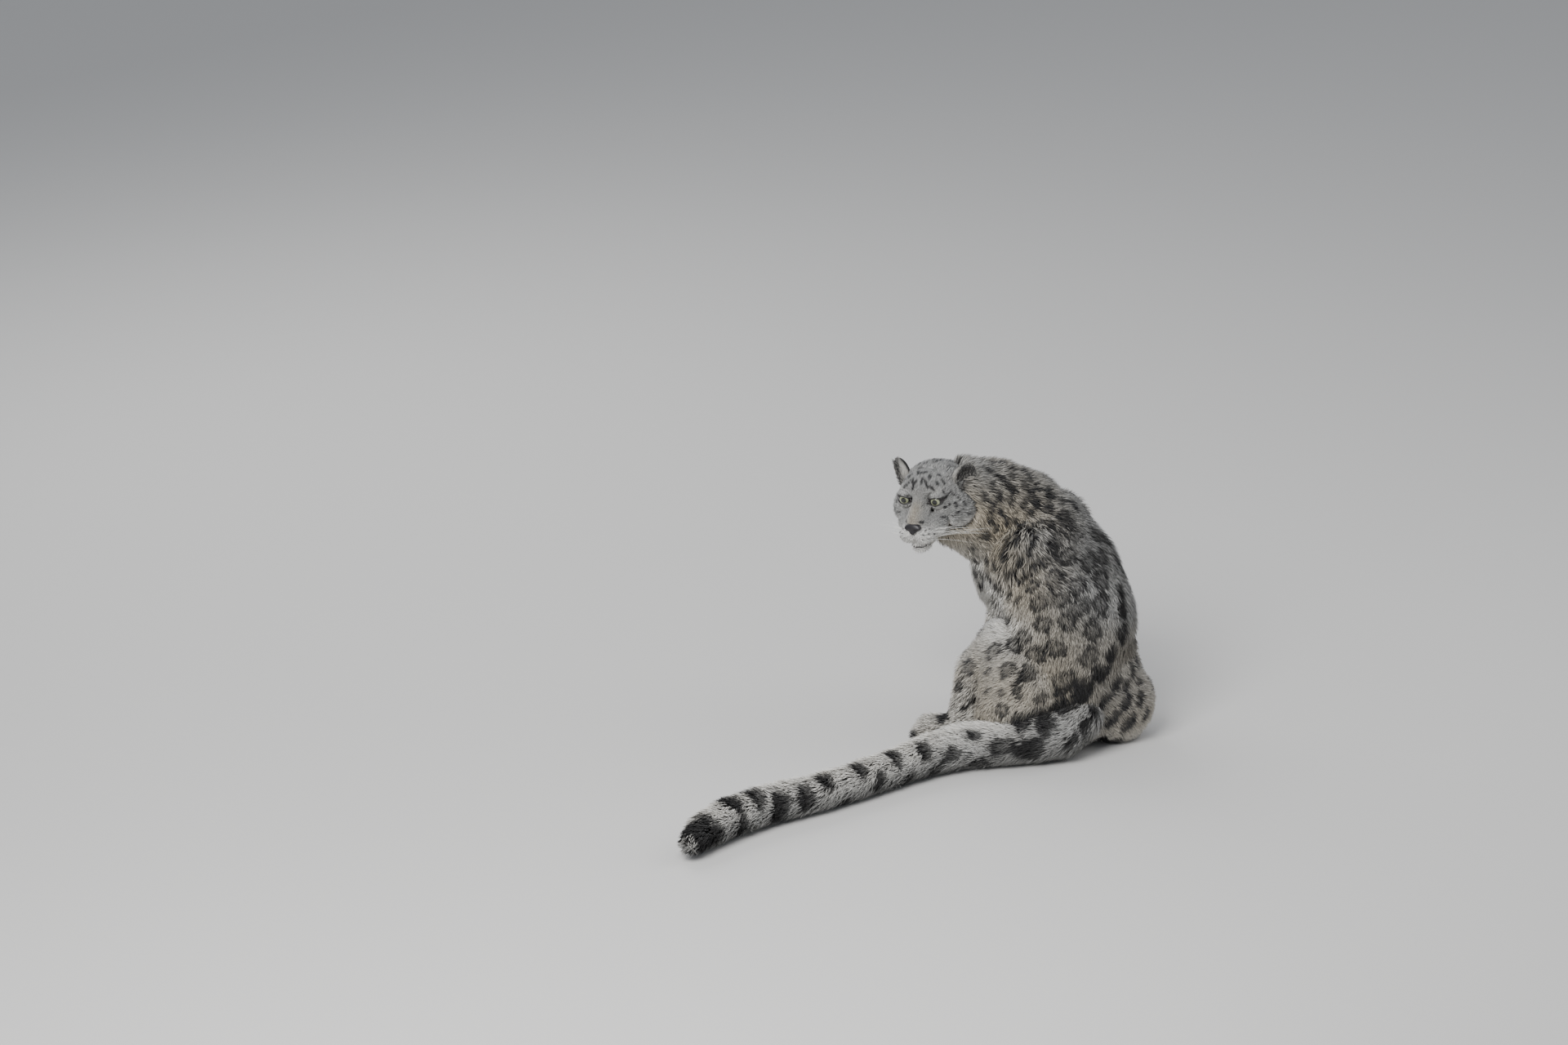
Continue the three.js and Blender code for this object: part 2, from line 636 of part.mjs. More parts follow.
nodes.nose = largest(solid(noseLeather()).subtract(nostril(-1)).subtract(nostril(1)));
nodes.head = largest(nodes.head.subtract(grownNose));

// Ears: round cups with their roots cut to the skull
for (const [name, s] of [
  ["ear_left", -1],
  ["ear_right", 1],
]) {
  const turn = new THREE.Matrix4().makeRotationFromEuler(new THREE.Euler(rad(8), rad(14 * s), rad(-46 * s), "XYZ"));
  const frame = headMatrix.clone().multiply(new THREE.Matrix4().setPosition(EAR.side * s, EAR.back, EAR.up)).multiply(turn);
  const shape = (w, d, h, y, z) => {
    const g = new THREE.SphereGeometry(1, 16, 12);
    const pos = g.attributes.position;
    for (let i = 0; i < pos.count; i++) {
      const up = pos.getZ(i);
      const narrow = up > 0 ? 1 - 0.16 * up * up : 1 + 0.12 * up;
      pos.setXYZ(i, pos.getX(i) * w * narrow, pos.getY(i) * d + y, up * h + z);
    }
    return solid(g.applyMatrix4(frame));
  };
  const cup = shape(EAR.wide, EAR.deep, EAR.tall, 0, 18);
  const hollow = shape(EAR.wide - EAR.wall, EAR.deep, EAR.tall - EAR.wall - 1, EAR.wall + 6, 19);
  const grownHead = solid(surface((x, y, z) => body(x, y, z) - GAP - 0.4, ...REGION.head));
  nodes[name] = largest(cup.subtract(hollow).subtract(grownHead));
}

// Colours of the coat, eyes and nose
const FINISH = {
  coat: { color: 0xb9b4a8, roughness: 0.95, metalness: 0 },
  pale: { color: 0xd9d6cf, roughness: 0.95, metalness: 0 },
  eye: { color: 0x9fb0a0, roughness: 0.12, metalness: 0 },
  nose: { color: 0x4a3b3c, roughness: 0.55, metalness: 0 },
};
const finishOf = (name) =>
  name.startsWith("eye") ? "eye" : name === "nose" ? "nose" : /tail|foot|paw/.test(name) ? "pale" : "coat";

const leopard = new THREE.Group();
leopard.name = "snow_leopard";
for (const [name, manifold] of Object.entries(nodes)) {
  const mesh = new THREE.Mesh(geometryOf(manifold), new THREE.MeshStandardMaterial(FINISH[finishOf(name)]));
  mesh.name = name;
  leopard.add(mesh);
}

export default leopard;
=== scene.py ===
"""Looks of a sitting snow leopard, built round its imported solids. Metres, in the solids' own frame."""

import math

import bpy
import numpy as np
from mathutils import Matrix, Vector
from mathutils.bvhtree import BVHTree


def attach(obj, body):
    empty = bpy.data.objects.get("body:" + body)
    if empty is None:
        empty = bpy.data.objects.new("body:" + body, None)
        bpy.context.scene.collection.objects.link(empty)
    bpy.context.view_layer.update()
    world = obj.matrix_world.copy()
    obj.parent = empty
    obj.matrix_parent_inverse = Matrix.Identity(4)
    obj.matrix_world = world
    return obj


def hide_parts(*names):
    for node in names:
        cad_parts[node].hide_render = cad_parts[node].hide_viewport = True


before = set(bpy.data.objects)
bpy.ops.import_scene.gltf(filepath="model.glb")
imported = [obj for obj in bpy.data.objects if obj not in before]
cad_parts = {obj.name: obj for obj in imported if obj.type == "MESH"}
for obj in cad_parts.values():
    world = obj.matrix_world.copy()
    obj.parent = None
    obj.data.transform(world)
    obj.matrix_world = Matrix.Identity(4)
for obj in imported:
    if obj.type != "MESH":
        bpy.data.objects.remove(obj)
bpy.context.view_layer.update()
rng = np.random.default_rng(11)
MM = 0.001

# Joints of the body, in millimetres
JOINT = {
    "hips": (16, 18, 150), "loin": (56, 34, 250), "ribs": (50, 80, 325), "shoulders": (22, 130, 388),
    "neck_root": (-6, 160, 426), "neck": (-52, 180, 438), "nape": (-110, 180, 466),
    "throat": (-34, 168, 365), "breast": (-14, 155, 320),
    "shoulder_l": (-17, 72, 395), "elbow_l": (-14, 150, 222), "wrist_l": (-18, 236, 80), "paw_l": (-28, 270, 30),
    "shoulder_r": (112, 200, 390), "elbow_r": (92, 205, 222), "wrist_r": (78, 280, 80), "paw_r": (72, 316, 30),
    "haunch_l": (-88, -10, 82), "hip_l": (-58, 6, 132), "thigh_l": (-60, 60, 182), "knee_l": (-116, 102, 146),
    "hock_l": (-104, 28, 42), "foot_l": (-165, 92, 34), "toes_l": (-207, 146, 27),
    "haunch_r": (122, -10, 78), "hip_r": (92, 6, 132), "thigh_r": (108, 62, 182), "knee_r": (152, 112, 146),
    "hock_r": (132, 30, 42), "foot_r": (162, 110, 34), "toes_r": (186, 172, 27),
    "seat_l": (-15, 0, 84), "seat_r": (45, 0, 84), "crest_f": (-122, 166, 504), "crest_b": (-54, 170, 474),
    "crest_e": (2, 150, 440), "rump_r": (104, 2, 196), "flank_r": (84, 24, 250),
}
# Chains of the body: joints with the half thickness of the full coat, then the depth of the coat
CHAINS = [
    ("trunk", 21, [("nape", 88), ("neck", 100), ("neck_root", 112), ("shoulders", 128), ("ribs", 137), ("loin", 140),
                   ("hips", 138)]),
    ("trunk", 21, [("crest_f", 82), ("crest_b", 96), ("crest_e", 104)]),
    ("trunk", 21, [("rump_r", 84), ("flank_r", 100)]),
    ("trunk", 21, [("shoulders", 118), ("shoulder_r", 84)]), ("trunk", 21, [("shoulders", 118), ("shoulder_l", 82)]),
    ("chest", 26, [("throat", 76), ("breast", 84)]),
    ("seat", 14, [("seat_l", 94), ("seat_r", 94)]),
    ("seat", 18, [("hips", 130), ("haunch_r", 98)]),
]
for side in "lr":
    CHAINS += [
        ("foreleg", 12, [("shoulder_" + side, 76), ("elbow_" + side, 58), ("wrist_" + side, 37), ("paw_" + side, 33)]),
        ("thigh", 16, [("hip_" + side, 104), ("thigh_" + side, 86), ("knee_" + side, 56)]),
        ("thigh", 16, [("hip_" + side, 104), ("haunch_" + side, 92)]),
        ("hindleg", 9, [("knee_" + side, 50), ("foot_" + side, 36)]),
        ("hindleg", 9, [("hock_" + side, 42), ("foot_" + side, 36), ("toes_" + side, 32)]),
    ]
TAIL = [
    (9, -70, 84, 66), (-30, -84, 62, 61), (-78, -80, 55, 57), (-130, -66, 52, 55), (-225, -42, 49, 51),
    (-310, -46, 45, 47), (-389, -66, 42, 44), (-500, -99, 41, 43), (-609, -127, 42, 44), (-729, -145, 44, 46),
    (-830, -176, 44, 46), (-905, -214, 42, 43), (-948, -246, 38, 34),
]
TAIL_DEPTH = 20

# The head's own frame: x to the animal's right, y to the nose, z up, from the point between the eyes
HEAD = (
    Matrix.Translation(Vector((-235, 136, 517)) * MM)
    @ Matrix.Rotation(math.radians(126), 4, "Z")
    @ Matrix.Rotation(math.radians(-10), 4, "X")
    @ Matrix.Rotation(math.radians(5), 4, "Y")
)
HEAD_INVERSE = HEAD.inverted()
EYE = {"side": 35, "front": -9, "radius": 16.5}


def joint(name):
    return Vector(JOINT[name]) * MM


def on_head(x, y, z):
    return HEAD @ (Vector((x, y, z)) * MM)


def only(piece):
    bpy.ops.object.select_all(action="DESELECT")
    piece.select_set(True)
    bpy.context.view_layer.objects.active = piece


def settle(piece):
    only(piece)
    bpy.ops.object.transform_apply(location=True, rotation=True, scale=True)
    return piece


def ball(place, radii, turn=None, segments=28):
    bpy.ops.mesh.primitive_uv_sphere_add(segments=segments, ring_count=segments // 2 + 2, radius=1)
    piece = bpy.context.object
    matrix = (turn or Matrix()).to_3x3().to_4x4() @ Matrix.Diagonal((*[r * MM for r in radii], 1))
    matrix.translation = place
    piece.matrix_world = matrix
    return settle(piece)


def taper(a, ra, b, rb):
    along = b - a
    bpy.ops.mesh.primitive_cone_add(vertices=28, radius1=ra * MM, radius2=rb * MM, depth=along.length)
    piece = bpy.context.object
    matrix = along.to_track_quat("Z", "Y").to_matrix().to_4x4()
    matrix.translation = (a + b) / 2
    piece.matrix_world = matrix
    settle(piece)
    return [piece, ball(a, (ra,) * 3), ball(b, (rb,) * 3)]


def egg(x, y, z, rx, ry, rz, less=0.0):
    return ball(on_head(x, y, z), (rx - less, ry - less, rz - less), HEAD)


def fuse(pieces, name, voxel, smooth):
    bpy.ops.object.select_all(action="DESELECT")
    for piece in pieces:
        piece.select_set(True)
    bpy.context.view_layer.objects.active = pieces[0]
    bpy.ops.object.join()
    piece = bpy.context.object
    piece.name = piece.data.name = name
    remesh = piece.modifiers.new("remesh", "REMESH")
    remesh.mode = "VOXEL"
    remesh.voxel_size = voxel * MM
    bpy.ops.object.modifier_apply(modifier="remesh")
    soften = piece.modifiers.new("smooth", "SMOOTH")
    soften.factor = 0.5
    soften.iterations = smooth
    bpy.ops.object.modifier_apply(modifier="smooth")
    bpy.ops.object.shade_smooth()
    return piece


def points_of(piece):
    flat = np.empty(len(piece.data.vertices) * 3)
    piece.data.vertices.foreach_get("co", flat)
    return flat.reshape(-1, 3)


def put_points(piece, points):
    piece.data.vertices.foreach_set("co", points.ravel())
    piece.data.update()


def to_head(points):
    m = np.array(HEAD_INVERSE)
    return (points @ m[:3, :3].T + m[:3, 3]) / MM


def from_head(points):
    m = np.array(HEAD)
    return (points * MM) @ m[:3, :3].T + m[:3, 3]


# Skin of the body, slimmer than the full coat by the coat's depth
body_parts = []
for kind, depth, stops in CHAINS:
    for (a, ra), (b, rb) in zip(stops, stops[1:]):
        body_parts += taper(joint(a), ra - depth, joint(b), rb - depth)
for foot, end, spread in [("wrist_l", "paw_l", 17), ("wrist_r", "paw_r", 17), ("foot_l", "toes_l", 18), ("foot_r", "toes_r", 18)]:
    ahead = (joint(end) - joint(foot)) * Vector((1, 1, 0))
    ahead.normalize()
    across = Vector((-ahead.y, ahead.x, 0))
    for n in (-1.5, -0.5, 0.5, 1.5):
        tip = joint(end) + across * (n * spread * MM) + ahead * ((21 - 5 * abs(n)) * MM)
        tip.z = 15 * MM
        body_parts += taper(joint(end) + across * (n * spread * 0.8 * MM), 14, tip, 13)
for a, b in zip(TAIL, TAIL[1:]):
    body_parts += taper(Vector(a[:3]) * MM, a[3] - TAIL_DEPTH, Vector(b[:3]) * MM, b[3] - TAIL_DEPTH)
body = fuse(body_parts, "skin_body", 5.0, 16)
p = points_of(body)
p[:, 2] = np.maximum(p[:, 2], 2.5 * MM)
put_points(body, p)

# Skin of the head
COAT_FACE = 4
head_parts = [
    egg(0, -66, 0, 68, 68, 46, COAT_FACE + 2), egg(0, -26, 20, 47, 40, 33, COAT_FACE), egg(0, -108, -18, 64, 58, 50, 10),
    egg(0, 14, -42, 33, 38, 28, COAT_FACE - 1), egg(0, 24, -85, 23, 22, 15, COAT_FACE),
]
head_parts += taper(on_head(0, -20, 2), 23, on_head(0, 34, -36), 17)
head_parts += taper(on_head(0, -30, -62), 32, on_head(0, 18, -78), 19)
for s in (-1, 1):
    head_parts += [
        egg(29 * s, -14, 18, 20, 16, 12, COAT_FACE - 1), egg(50 * s, -54, -36, 37, 50, 43, 8),
        egg(39 * s, -22, -22, 24, 26, 22, COAT_FACE), egg(33 * s, 0, -46, 20, 32, 25, COAT_FACE), egg(17 * s, 32, -59, 22, 24, 20, COAT_FACE - 2),
    ]
head = fuse(head_parts, "skin_head", 2.4, 20)

MOUTH = np.array([(-46, -22, -68), (-40, 2, -79), (-26, 30, -85), (-11, 50, -84), (0, 55, -81),
                  (11, 50, -84), (26, 30, -85), (40, 2, -79), (46, -22, -68)], float)


def dense(line, steps=12):
    """Points of a smooth curve through a line's points."""
    out = []
    padded = np.vstack([2 * line[0] - line[1], line, 2 * line[-1] - line[-2]])
    for i in range(1, len(padded) - 2):
        a, b, c, d = padded[i - 1: i + 3]
        for t in np.arange(steps) / steps:
            out.append(0.5 * (2 * b + (c - a) * t + (2 * a - 5 * b + 4 * c - d) * t**2 + (3 * b - a - 3 * c + d) * t**3))
    return np.vstack([out, padded[-2]])


def near(points, line):
    best = np.full(len(points), 1e9)
    for q in line:
        best = np.minimum(best, np.linalg.norm(points - q, axis=1))
    return best


def almond(x, z, s):
    """How far inside the opening of the lids a place of the face is: below 1 is inside."""
    dx = (x - EYE["side"] * s) * s
    dz = z - 0.10 * dx
    top = np.where(dz > 0, 8.2, 7.2)
    return (np.abs(dx) / 15.5) ** 1.7 + (np.abs(dz) / top) ** 1.7


def smoothstep(v, low, high):
    t = np.clip((v - low) / (high - low), 0, 1)
    return t * t * (3 - 2 * t)


# Eye sockets, lids, the line of the mouth and the groove under the nose
h = to_head(points_of(head))
for s in (-1, 1):
    dx, dz = h[:, 0] - EYE["side"] * s, h[:, 2]
    r = np.hypot(dx, dz)
    front = h[:, 1] > -34
    bulge = EYE["front"] + np.sqrt(np.maximum(EYE["radius"] ** 2 - r**2, 0))
    opening = almond(h[:, 0], h[:, 2], s)
    inside = front & (opening < 1)
    around = front & (opening >= 1) & (r < 30)
    h[inside, 1] = np.minimum(h[inside, 1], bulge[inside] - 3)
    want = bulge + 2.0
    mix = smoothstep(r, 14, 27)
    lid = want * (1 - mix) + h[:, 1] * mix
    h[around, 1] = lid[around]
mouth_line = dense(MOUTH)
skin_near = h[np.abs(h[:, 1]) < 80]
for i, q in enumerate(mouth_line):
    d = np.linalg.norm(skin_near - q, axis=1)
    mouth_line[i] = skin_near[np.argmin(d)]
mouth_line = np.array([mouth_line[max(0, i - 5): i + 6].mean(axis=0) for i in range(len(mouth_line))])
d = near(h, mouth_line)
inward = h - np.array([0, -20, -60.0])
inward /= np.linalg.norm(inward, axis=1)[:, None]
h -= inward * (3.4 * np.exp(-((d / 2.6) ** 2)))[:, None]
groove = dense(np.array([(0, 56, -46), (0, 57, -56), (0, 54, -70)], float))
h -= inward * (1.6 * np.exp(-((near(h, groove) / 2.2) ** 2)))[:, None]
put_points(head, from_head(h))


# Nearest stretches of the body, for the coat's length and the way that it lies
SEGMENTS = []
LENGTH = {"trunk": 34, "chest": 46, "seat": 24, "foreleg": 20, "thigh": 28, "hindleg": 15, "tail": 36}
for kind, depth, stops in CHAINS:
    for (a, ra), (b, rb) in zip(stops, stops[1:]):
        SEGMENTS.append((kind, np.array(joint(a)), np.array(joint(b)), ra - depth, rb - depth, LENGTH[kind], depth))
for a, b in zip(TAIL, TAIL[1:]):
    ra, rb = a[3] - TAIL_DEPTH, b[3] - TAIL_DEPTH
    SEGMENTS.append(("tail", np.array(a[:3]) * MM, np.array(b[:3]) * MM, ra, rb, LENGTH["tail"], TAIL_DEPTH))


def survey(points):
    """For each point: share of each stretch of the body near it, and how far along the stretch it is."""
    gaps, alongs = [], []
    for _, a, b, ra, rb, _, _ in SEGMENTS:
        ab = b - a
        t = np.clip((points - a) @ ab / (ab @ ab), 0, 1)
        gaps.append(np.linalg.norm(points - a - t[:, None] * ab, axis=1) / MM - (ra + t * (rb - ra)))
        alongs.append(t)
    gaps = np.array(gaps)
    share = np.exp(-(gaps - gaps.min(axis=0)) / 9.0)
    return share / share.sum(axis=0), np.array(alongs)


def unit(v):
    return v / np.maximum(np.linalg.norm(v, axis=1), 1e-9)[:, None]


def triangles(piece):
    piece.data.calc_loop_triangles()
    tri = np.empty(len(piece.data.loop_triangles) * 3, int)
    piece.data.loop_triangles.foreach_get("vertices", tri)
    normals = np.empty(len(piece.data.vertices) * 3)
    piece.data.vertices.foreach_get("normal", normals)
    return tri.reshape(-1, 3), normals.reshape(-1, 3)


def scatter(piece, count, keep):
    """Roots spread over a skin, with their normals. keep says how dense the coat is at given places."""
    tri, normals = triangles(piece)
    points = points_of(piece)
    corner = points[tri]
    area = np.linalg.norm(np.cross(corner[:, 1] - corner[:, 0], corner[:, 2] - corner[:, 0]), axis=1)
    weight = area * keep(corner.mean(axis=1))
    pick = rng.choice(len(tri), count, p=weight / weight.sum())
    u, v = rng.random(count), rng.random(count)
    flip = u + v > 1
    u[flip], v[flip] = 1 - u[flip], 1 - v[flip]
    mix = np.stack([1 - u - v, u, v], axis=1)[:, :, None]
    return (corner[pick] * mix).sum(axis=1), unit((normals[tri[pick]] * mix).sum(axis=1))


# Wavy noise, for ruffled fur and the uneven edges of the markings
WAVES = [(rng.normal(size=3), rng.uniform(0, 6.28)) for _ in range(14)]


def ripple(points, size, first=0):
    value = 0
    for direction, phase in WAVES[first: first + 7]:
        value = value + np.sin(points @ (direction / (size * MM)) + phase)
    return value / 3.0


# Which parts of the coat are pale: the underside, throat, chin and feet
WHITE = np.array([0.84, 0.82, 0.78])
CREAM = np.array([0.70, 0.65, 0.54])
SMOKE = np.array([0.37, 0.365, 0.35])
TAN = np.array([0.50, 0.41, 0.27])
DARK = np.array([0.014, 0.013, 0.013])


def ground(points, normals):
    """The coat's ground colour at places on the body."""
    share, along = survey(points)
    kinds = np.array([s[0] for s in SEGMENTS])
    part = {k: share[kinds == k].sum(axis=0) for k in LENGTH}
    pale = part["chest"] * 0.9 + part["foreleg"] * 0.35 + part["hindleg"] * 0.75 + part["thigh"] * 0.3
    pale += np.clip(-normals[:, 2] * 0.9 - 0.1, 0, 1) * (1 - part["tail"])
    pale += np.clip(0.75 - points[:, 2] / 0.10, 0, 0.7) * part["foreleg"]
    pale += np.clip(normals[:, 2] * 0.55 + 0.36 + normals[:, 1] * 0.3, 0, 1) * part["tail"] * smoothstep(-points[:, 0], 0.04, 0.16)
    pale += 1.1 * np.exp(-np.sum(((points - THROAT_AT) / np.array([0.05, 0.06, 0.06])) ** 2, axis=1))
    belly = np.exp(-np.sum(((points - np.array([-0.075, 0.075, 0.26])) / np.array([0.06, 0.10, 0.045])) ** 2, axis=1))
    pale = np.clip(pale + belly, 0, 1)[:, None]
    # Tan tone: random in part and stronger on faces turned down; it also grows on faces turned to -x, the side the key
    # lamp lights, as painted light
    warm_and_lit_side = np.clip(0.6 + 0.35 * ripple(points, 90) - 0.5 * normals[:, 2] - 0.4 * normals[:, 0], 0, 1)[:, None] * (1 - part["tail"])[:, None]
    tone = SMOKE * (1 - warm_and_lit_side) + (0.75 * TAN + 0.25 * SMOKE) * warm_and_lit_side
    tone = tone * (1 - 0.35 * np.clip(ripple(points, 40, 7), 0, 1)[:, None] * (1 - pale))
    return tone * (1 - pale) + (WHITE * 0.75 + CREAM * 0.25) * pale


def ground_head(local):
    """The ground colour of the face, from places in the head's frame."""
    x, y, z = np.abs(local[:, 0]), local[:, 1], local[:, 2]
    pale = smoothstep(-z, 38, 62) + smoothstep(y, 22, 40) * smoothstep(-z, 30, 50) * 0.8
    under_eye = np.exp(-(((x - 33) / 16) ** 2 + ((z + 16) / 7) ** 2)) * (y > -30)
    over_eye = np.exp(-(((x - 30) / 14) ** 2 + ((z - 17) / 6) ** 2)) * (y > -30)
    pale = np.clip(pale + 0.8 * under_eye + 0.55 * over_eye, 0, 1)[:, None]
    bridge = np.exp(-((x / 12) ** 2)) * smoothstep(y, 5, 30)
    cool = SMOKE * 0.98
    tone = cool * (1 - 0.45 * bridge[:, None]) + TAN * 0.45 * bridge[:, None]
    tone = tone * (1 - pale) + WHITE * pale
    lid = (1 - smoothstep(almond(x, z, 1), 1.2, 1.7)) * (y > -34) * (1 - smoothstep(x, 49, 53))
    corner = 0.9 * np.exp(-(((x - 19.5) / 3.5) ** 2 + ((z + 4.5) / 5) ** 2)) * (y > -30)
    mouth = np.exp(-((near(local, mouth_line) / 2.4) ** 2))
    rim = np.clip(np.maximum(np.maximum(lid, corner), mouth * 0.9), 0, 1)[:, None]
    return tone * (1 - rim) + DARK * rim


# Spots: place on the skin, long direction, half length and half width in mm, and whether the middle is lighter
SPOTS = []


def mark(place, along, half_long, half_wide, ring=0.0, strength=1.0):
    SPOTS.append((np.array(place), np.array(along), half_long, half_wide, ring, strength))


def darkness(points):
    """How dark the markings make each point, and how much of that is a lighter middle."""
    dark, middle = np.zeros(len(points)), np.zeros(len(points))
    edge = 1 + 0.16 * ripple(points, 5.5) + 0.10 * ripple(points, 2.6, 7)
    for place, along, half_long, half_wide, ring, strength in SPOTS:
        reach = 1.5 * half_long * MM
        close = np.where(np.abs(points - place).max(axis=1) < reach)[0]
        if not len(close):
            continue
        offset = (points[close] - place) / MM
        u = offset @ along
        v = np.sqrt(np.maximum((offset**2).sum(axis=1) - u**2, 0))
        d = ((np.abs(u) / half_long) ** 2.3 + (v / half_wide) ** 2.3) ** (1 / 2.3) * edge[close]
        ink = strength * (1 - smoothstep(d, 0.80, 1.06))
        if ring:
            gap = 0.5 + 0.5 * ripple(points[close] + place * 3, 9)
            hollow = ring * (1 - smoothstep(d, 0.42, 0.66))
            broken = ring * smoothstep(gap, 0.75, 1.0) * 0.6
            ink = ink * (1 - hollow) * (1 - broken)
            middle[close] = np.maximum(middle[close], hollow * strength)
        dark[close] = np.maximum(dark[close], ink)
    return dark, middle


def coloured(points, base):
    dark, middle = darkness(points)
    shade = base * (1 - 0.38 * middle[:, None])
    return shade * (1 - dark[:, None]) + DARK * dark[:, None]


def paint(piece, colours):
    layer = piece.data.color_attributes.new("coat", "FLOAT_COLOR", "POINT")
    layer.data.foreach_set("color", np.hstack([np.clip(colours, 0, 1), np.ones((len(colours), 1))]).ravel())


def tufts(name, roots, normals, lie, length, width, rise, shaded_root_colour, tip_colour, place_uv, rings=3, curl=0.0):
    """Many thin tapered tufts as one mesh. Sizes in metres, one for each tuft."""
    n = len(roots)
    side = unit(np.cross(lie, normals))
    stations = np.array([0.0, 0.38, 0.74][:rings] if rings == 3 else [0.0, 0.5])
    fat = np.array([0.75, 1.0, 0.62] if rings == 3 else [0.9, 0.8])
    bend = rng.normal(0, 1, n) * curl
    points = np.empty((n, len(stations) * 3 + 1, 3))

    def spine(t):
        out = roots - normals * 0.0007
        out = out + lie * (length * t * np.sqrt(np.maximum(1 - (rise / length) ** 2, 0.05)))[:, None]
        out = out + normals * (rise * (1 - (1 - t) ** 1.7))[:, None]
        return out + side * (bend * length * t**2)[:, None]

    for i, t in enumerate(stations):
        middle = spine(t)
        half = (width * fat[i] * 0.5)[:, None]
        points[:, 3 * i] = middle - side * half
        points[:, 3 * i + 1] = middle + side * half
        points[:, 3 * i + 2] = middle + normals * half * 0.55
    points[:, -1] = spine(1.0)
    points[:, :, 2] = np.maximum(points[:, :, 2], 0.6 * MM)
    k = points.shape[1]
    faces = [(0, 1, 2)]
    for i in range(len(stations) - 1):
        for a, b in ((0, 1), (1, 2), (2, 0)):
            lo_a, lo_b, hi_a, hi_b = 3 * i + a, 3 * i + b, 3 * i + 3 + a, 3 * i + 3 + b
            faces += [(lo_a, hi_b, lo_b), (lo_a, hi_a, hi_b)]
    last = 3 * (len(stations) - 1)
    faces += [(last + a, k - 1, last + b) for a, b in ((0, 1), (1, 2), (2, 0))]
    faces = np.array(faces)
    index = (np.arange(n)[:, None, None] * k + faces[None]).reshape(-1, 3)
    mesh = bpy.data.meshes.new(name)
    mesh.vertices.add(n * k)
    mesh.vertices.foreach_set("co", points.ravel())
    mesh.loops.add(index.size)
    mesh.loops.foreach_set("vertex_index", index.ravel())
    mesh.polygons.add(len(index))
    mesh.polygons.foreach_set("loop_start", np.arange(len(index)) * 3)
    mesh.update(calc_edges=True)
    mesh.polygons.foreach_set("use_smooth", np.ones(len(index), bool))
    piece = bpy.data.objects.new(name, mesh)
    bpy.context.scene.collection.objects.link(piece)
    at = np.append(np.repeat(stations, 3), 1.0)[None, :, None]
    # Colour runs from the root, darkened as painted shade, to the tip
    tone = shaded_root_colour[:, None, :] * (1 - at) + tip_colour[:, None, :] * at
    paint(piece, tone.reshape(-1, 3))
    layer = mesh.uv_layers.new(name="OFBake")
    spot = np.array([(math.cos(a) * 0.0012, math.sin(a) * 0.0012) for a in np.arange(k) * 2.4])
    uv = place_uv[:, None, :] + spot[None]
    layer.data.foreach_set("uv", uv.reshape(-1, 2)[index.ravel()].ravel())
    return piece


# The view: from behind the animal's left hip, a little above it
SCALE = 1.65 * MM
PHOTO = (1920, 1280)
ORIGIN_AT = (1290, 911)
look = Vector((math.cos(math.radians(62)) * math.cos(math.radians(19)),
               math.sin(math.radians(62)) * math.cos(math.radians(19)), -math.sin(math.radians(19))))
right = Vector((math.sin(math.radians(62)), -math.cos(math.radians(62)), 0))
upward = right.cross(look)
bpy.ops.object.camera_add()
camera = bpy.context.object
camera.data.lens = 300
camera.data.sensor_width = 36
camera.data.clip_end = 200
distance = SCALE * 300 * PHOTO[0] / 36
camera.location = (-look * distance - right * ((ORIGIN_AT[0] - PHOTO[0] / 2) * SCALE)
                   + upward * ((ORIGIN_AT[1] - PHOTO[1] / 2) * SCALE))
camera.rotation_mode = "QUATERNION"
camera.rotation_quaternion = look.to_track_quat("-Z", "Y")
bpy.context.scene.camera = camera

# Trees for finding the skin
def tree_of(piece):
    tri, _ = triangles(piece)
    return BVHTree.FromPolygons(points_of(piece).tolist(), tri.tolist())


body_tree, head_tree = tree_of(body), tree_of(head)


def seen_at(u, v, tree=None):
    """The place on the skin that shows at a spot of the view, and the skin's normal there."""
    start = (camera.location + right * ((u - PHOTO[0] / 2) * SCALE * 1.0) - upward * ((v - PHOTO[1] / 2) * SCALE))
    target = start + look * distance
    way = (target - camera.location).normalized()
    hit = (tree or body_tree).ray_cast(camera.location, way)
    return (hit[0], hit[1]) if hit[0] is not None else (None, None)


def spot(u, v, half_long, half_wide, angle, ring=0.0, strength=1.0, tree=None):
    """A marking at a spot of the view: half sizes in view dots, and the angle of its long side from level."""
    place, normal = seen_at(u, v, tree)
    if place is None:
        return
    a = math.radians(angle)
    along = right * math.cos(a) + upward * math.sin(a)
    along = (along - normal * along.dot(normal)).normalized()
    grow = 1.22 if tree is None else 1.3 if v < 600 else 1.1
    mark(place, along, half_long * SCALE / MM * grow, half_wide * SCALE / MM * grow, ring, strength)


# Middle of the white throat and chest
THROAT_AT = np.array(seen_at(1212, 712)[0]) + np.array([-0.01, 0, 0])

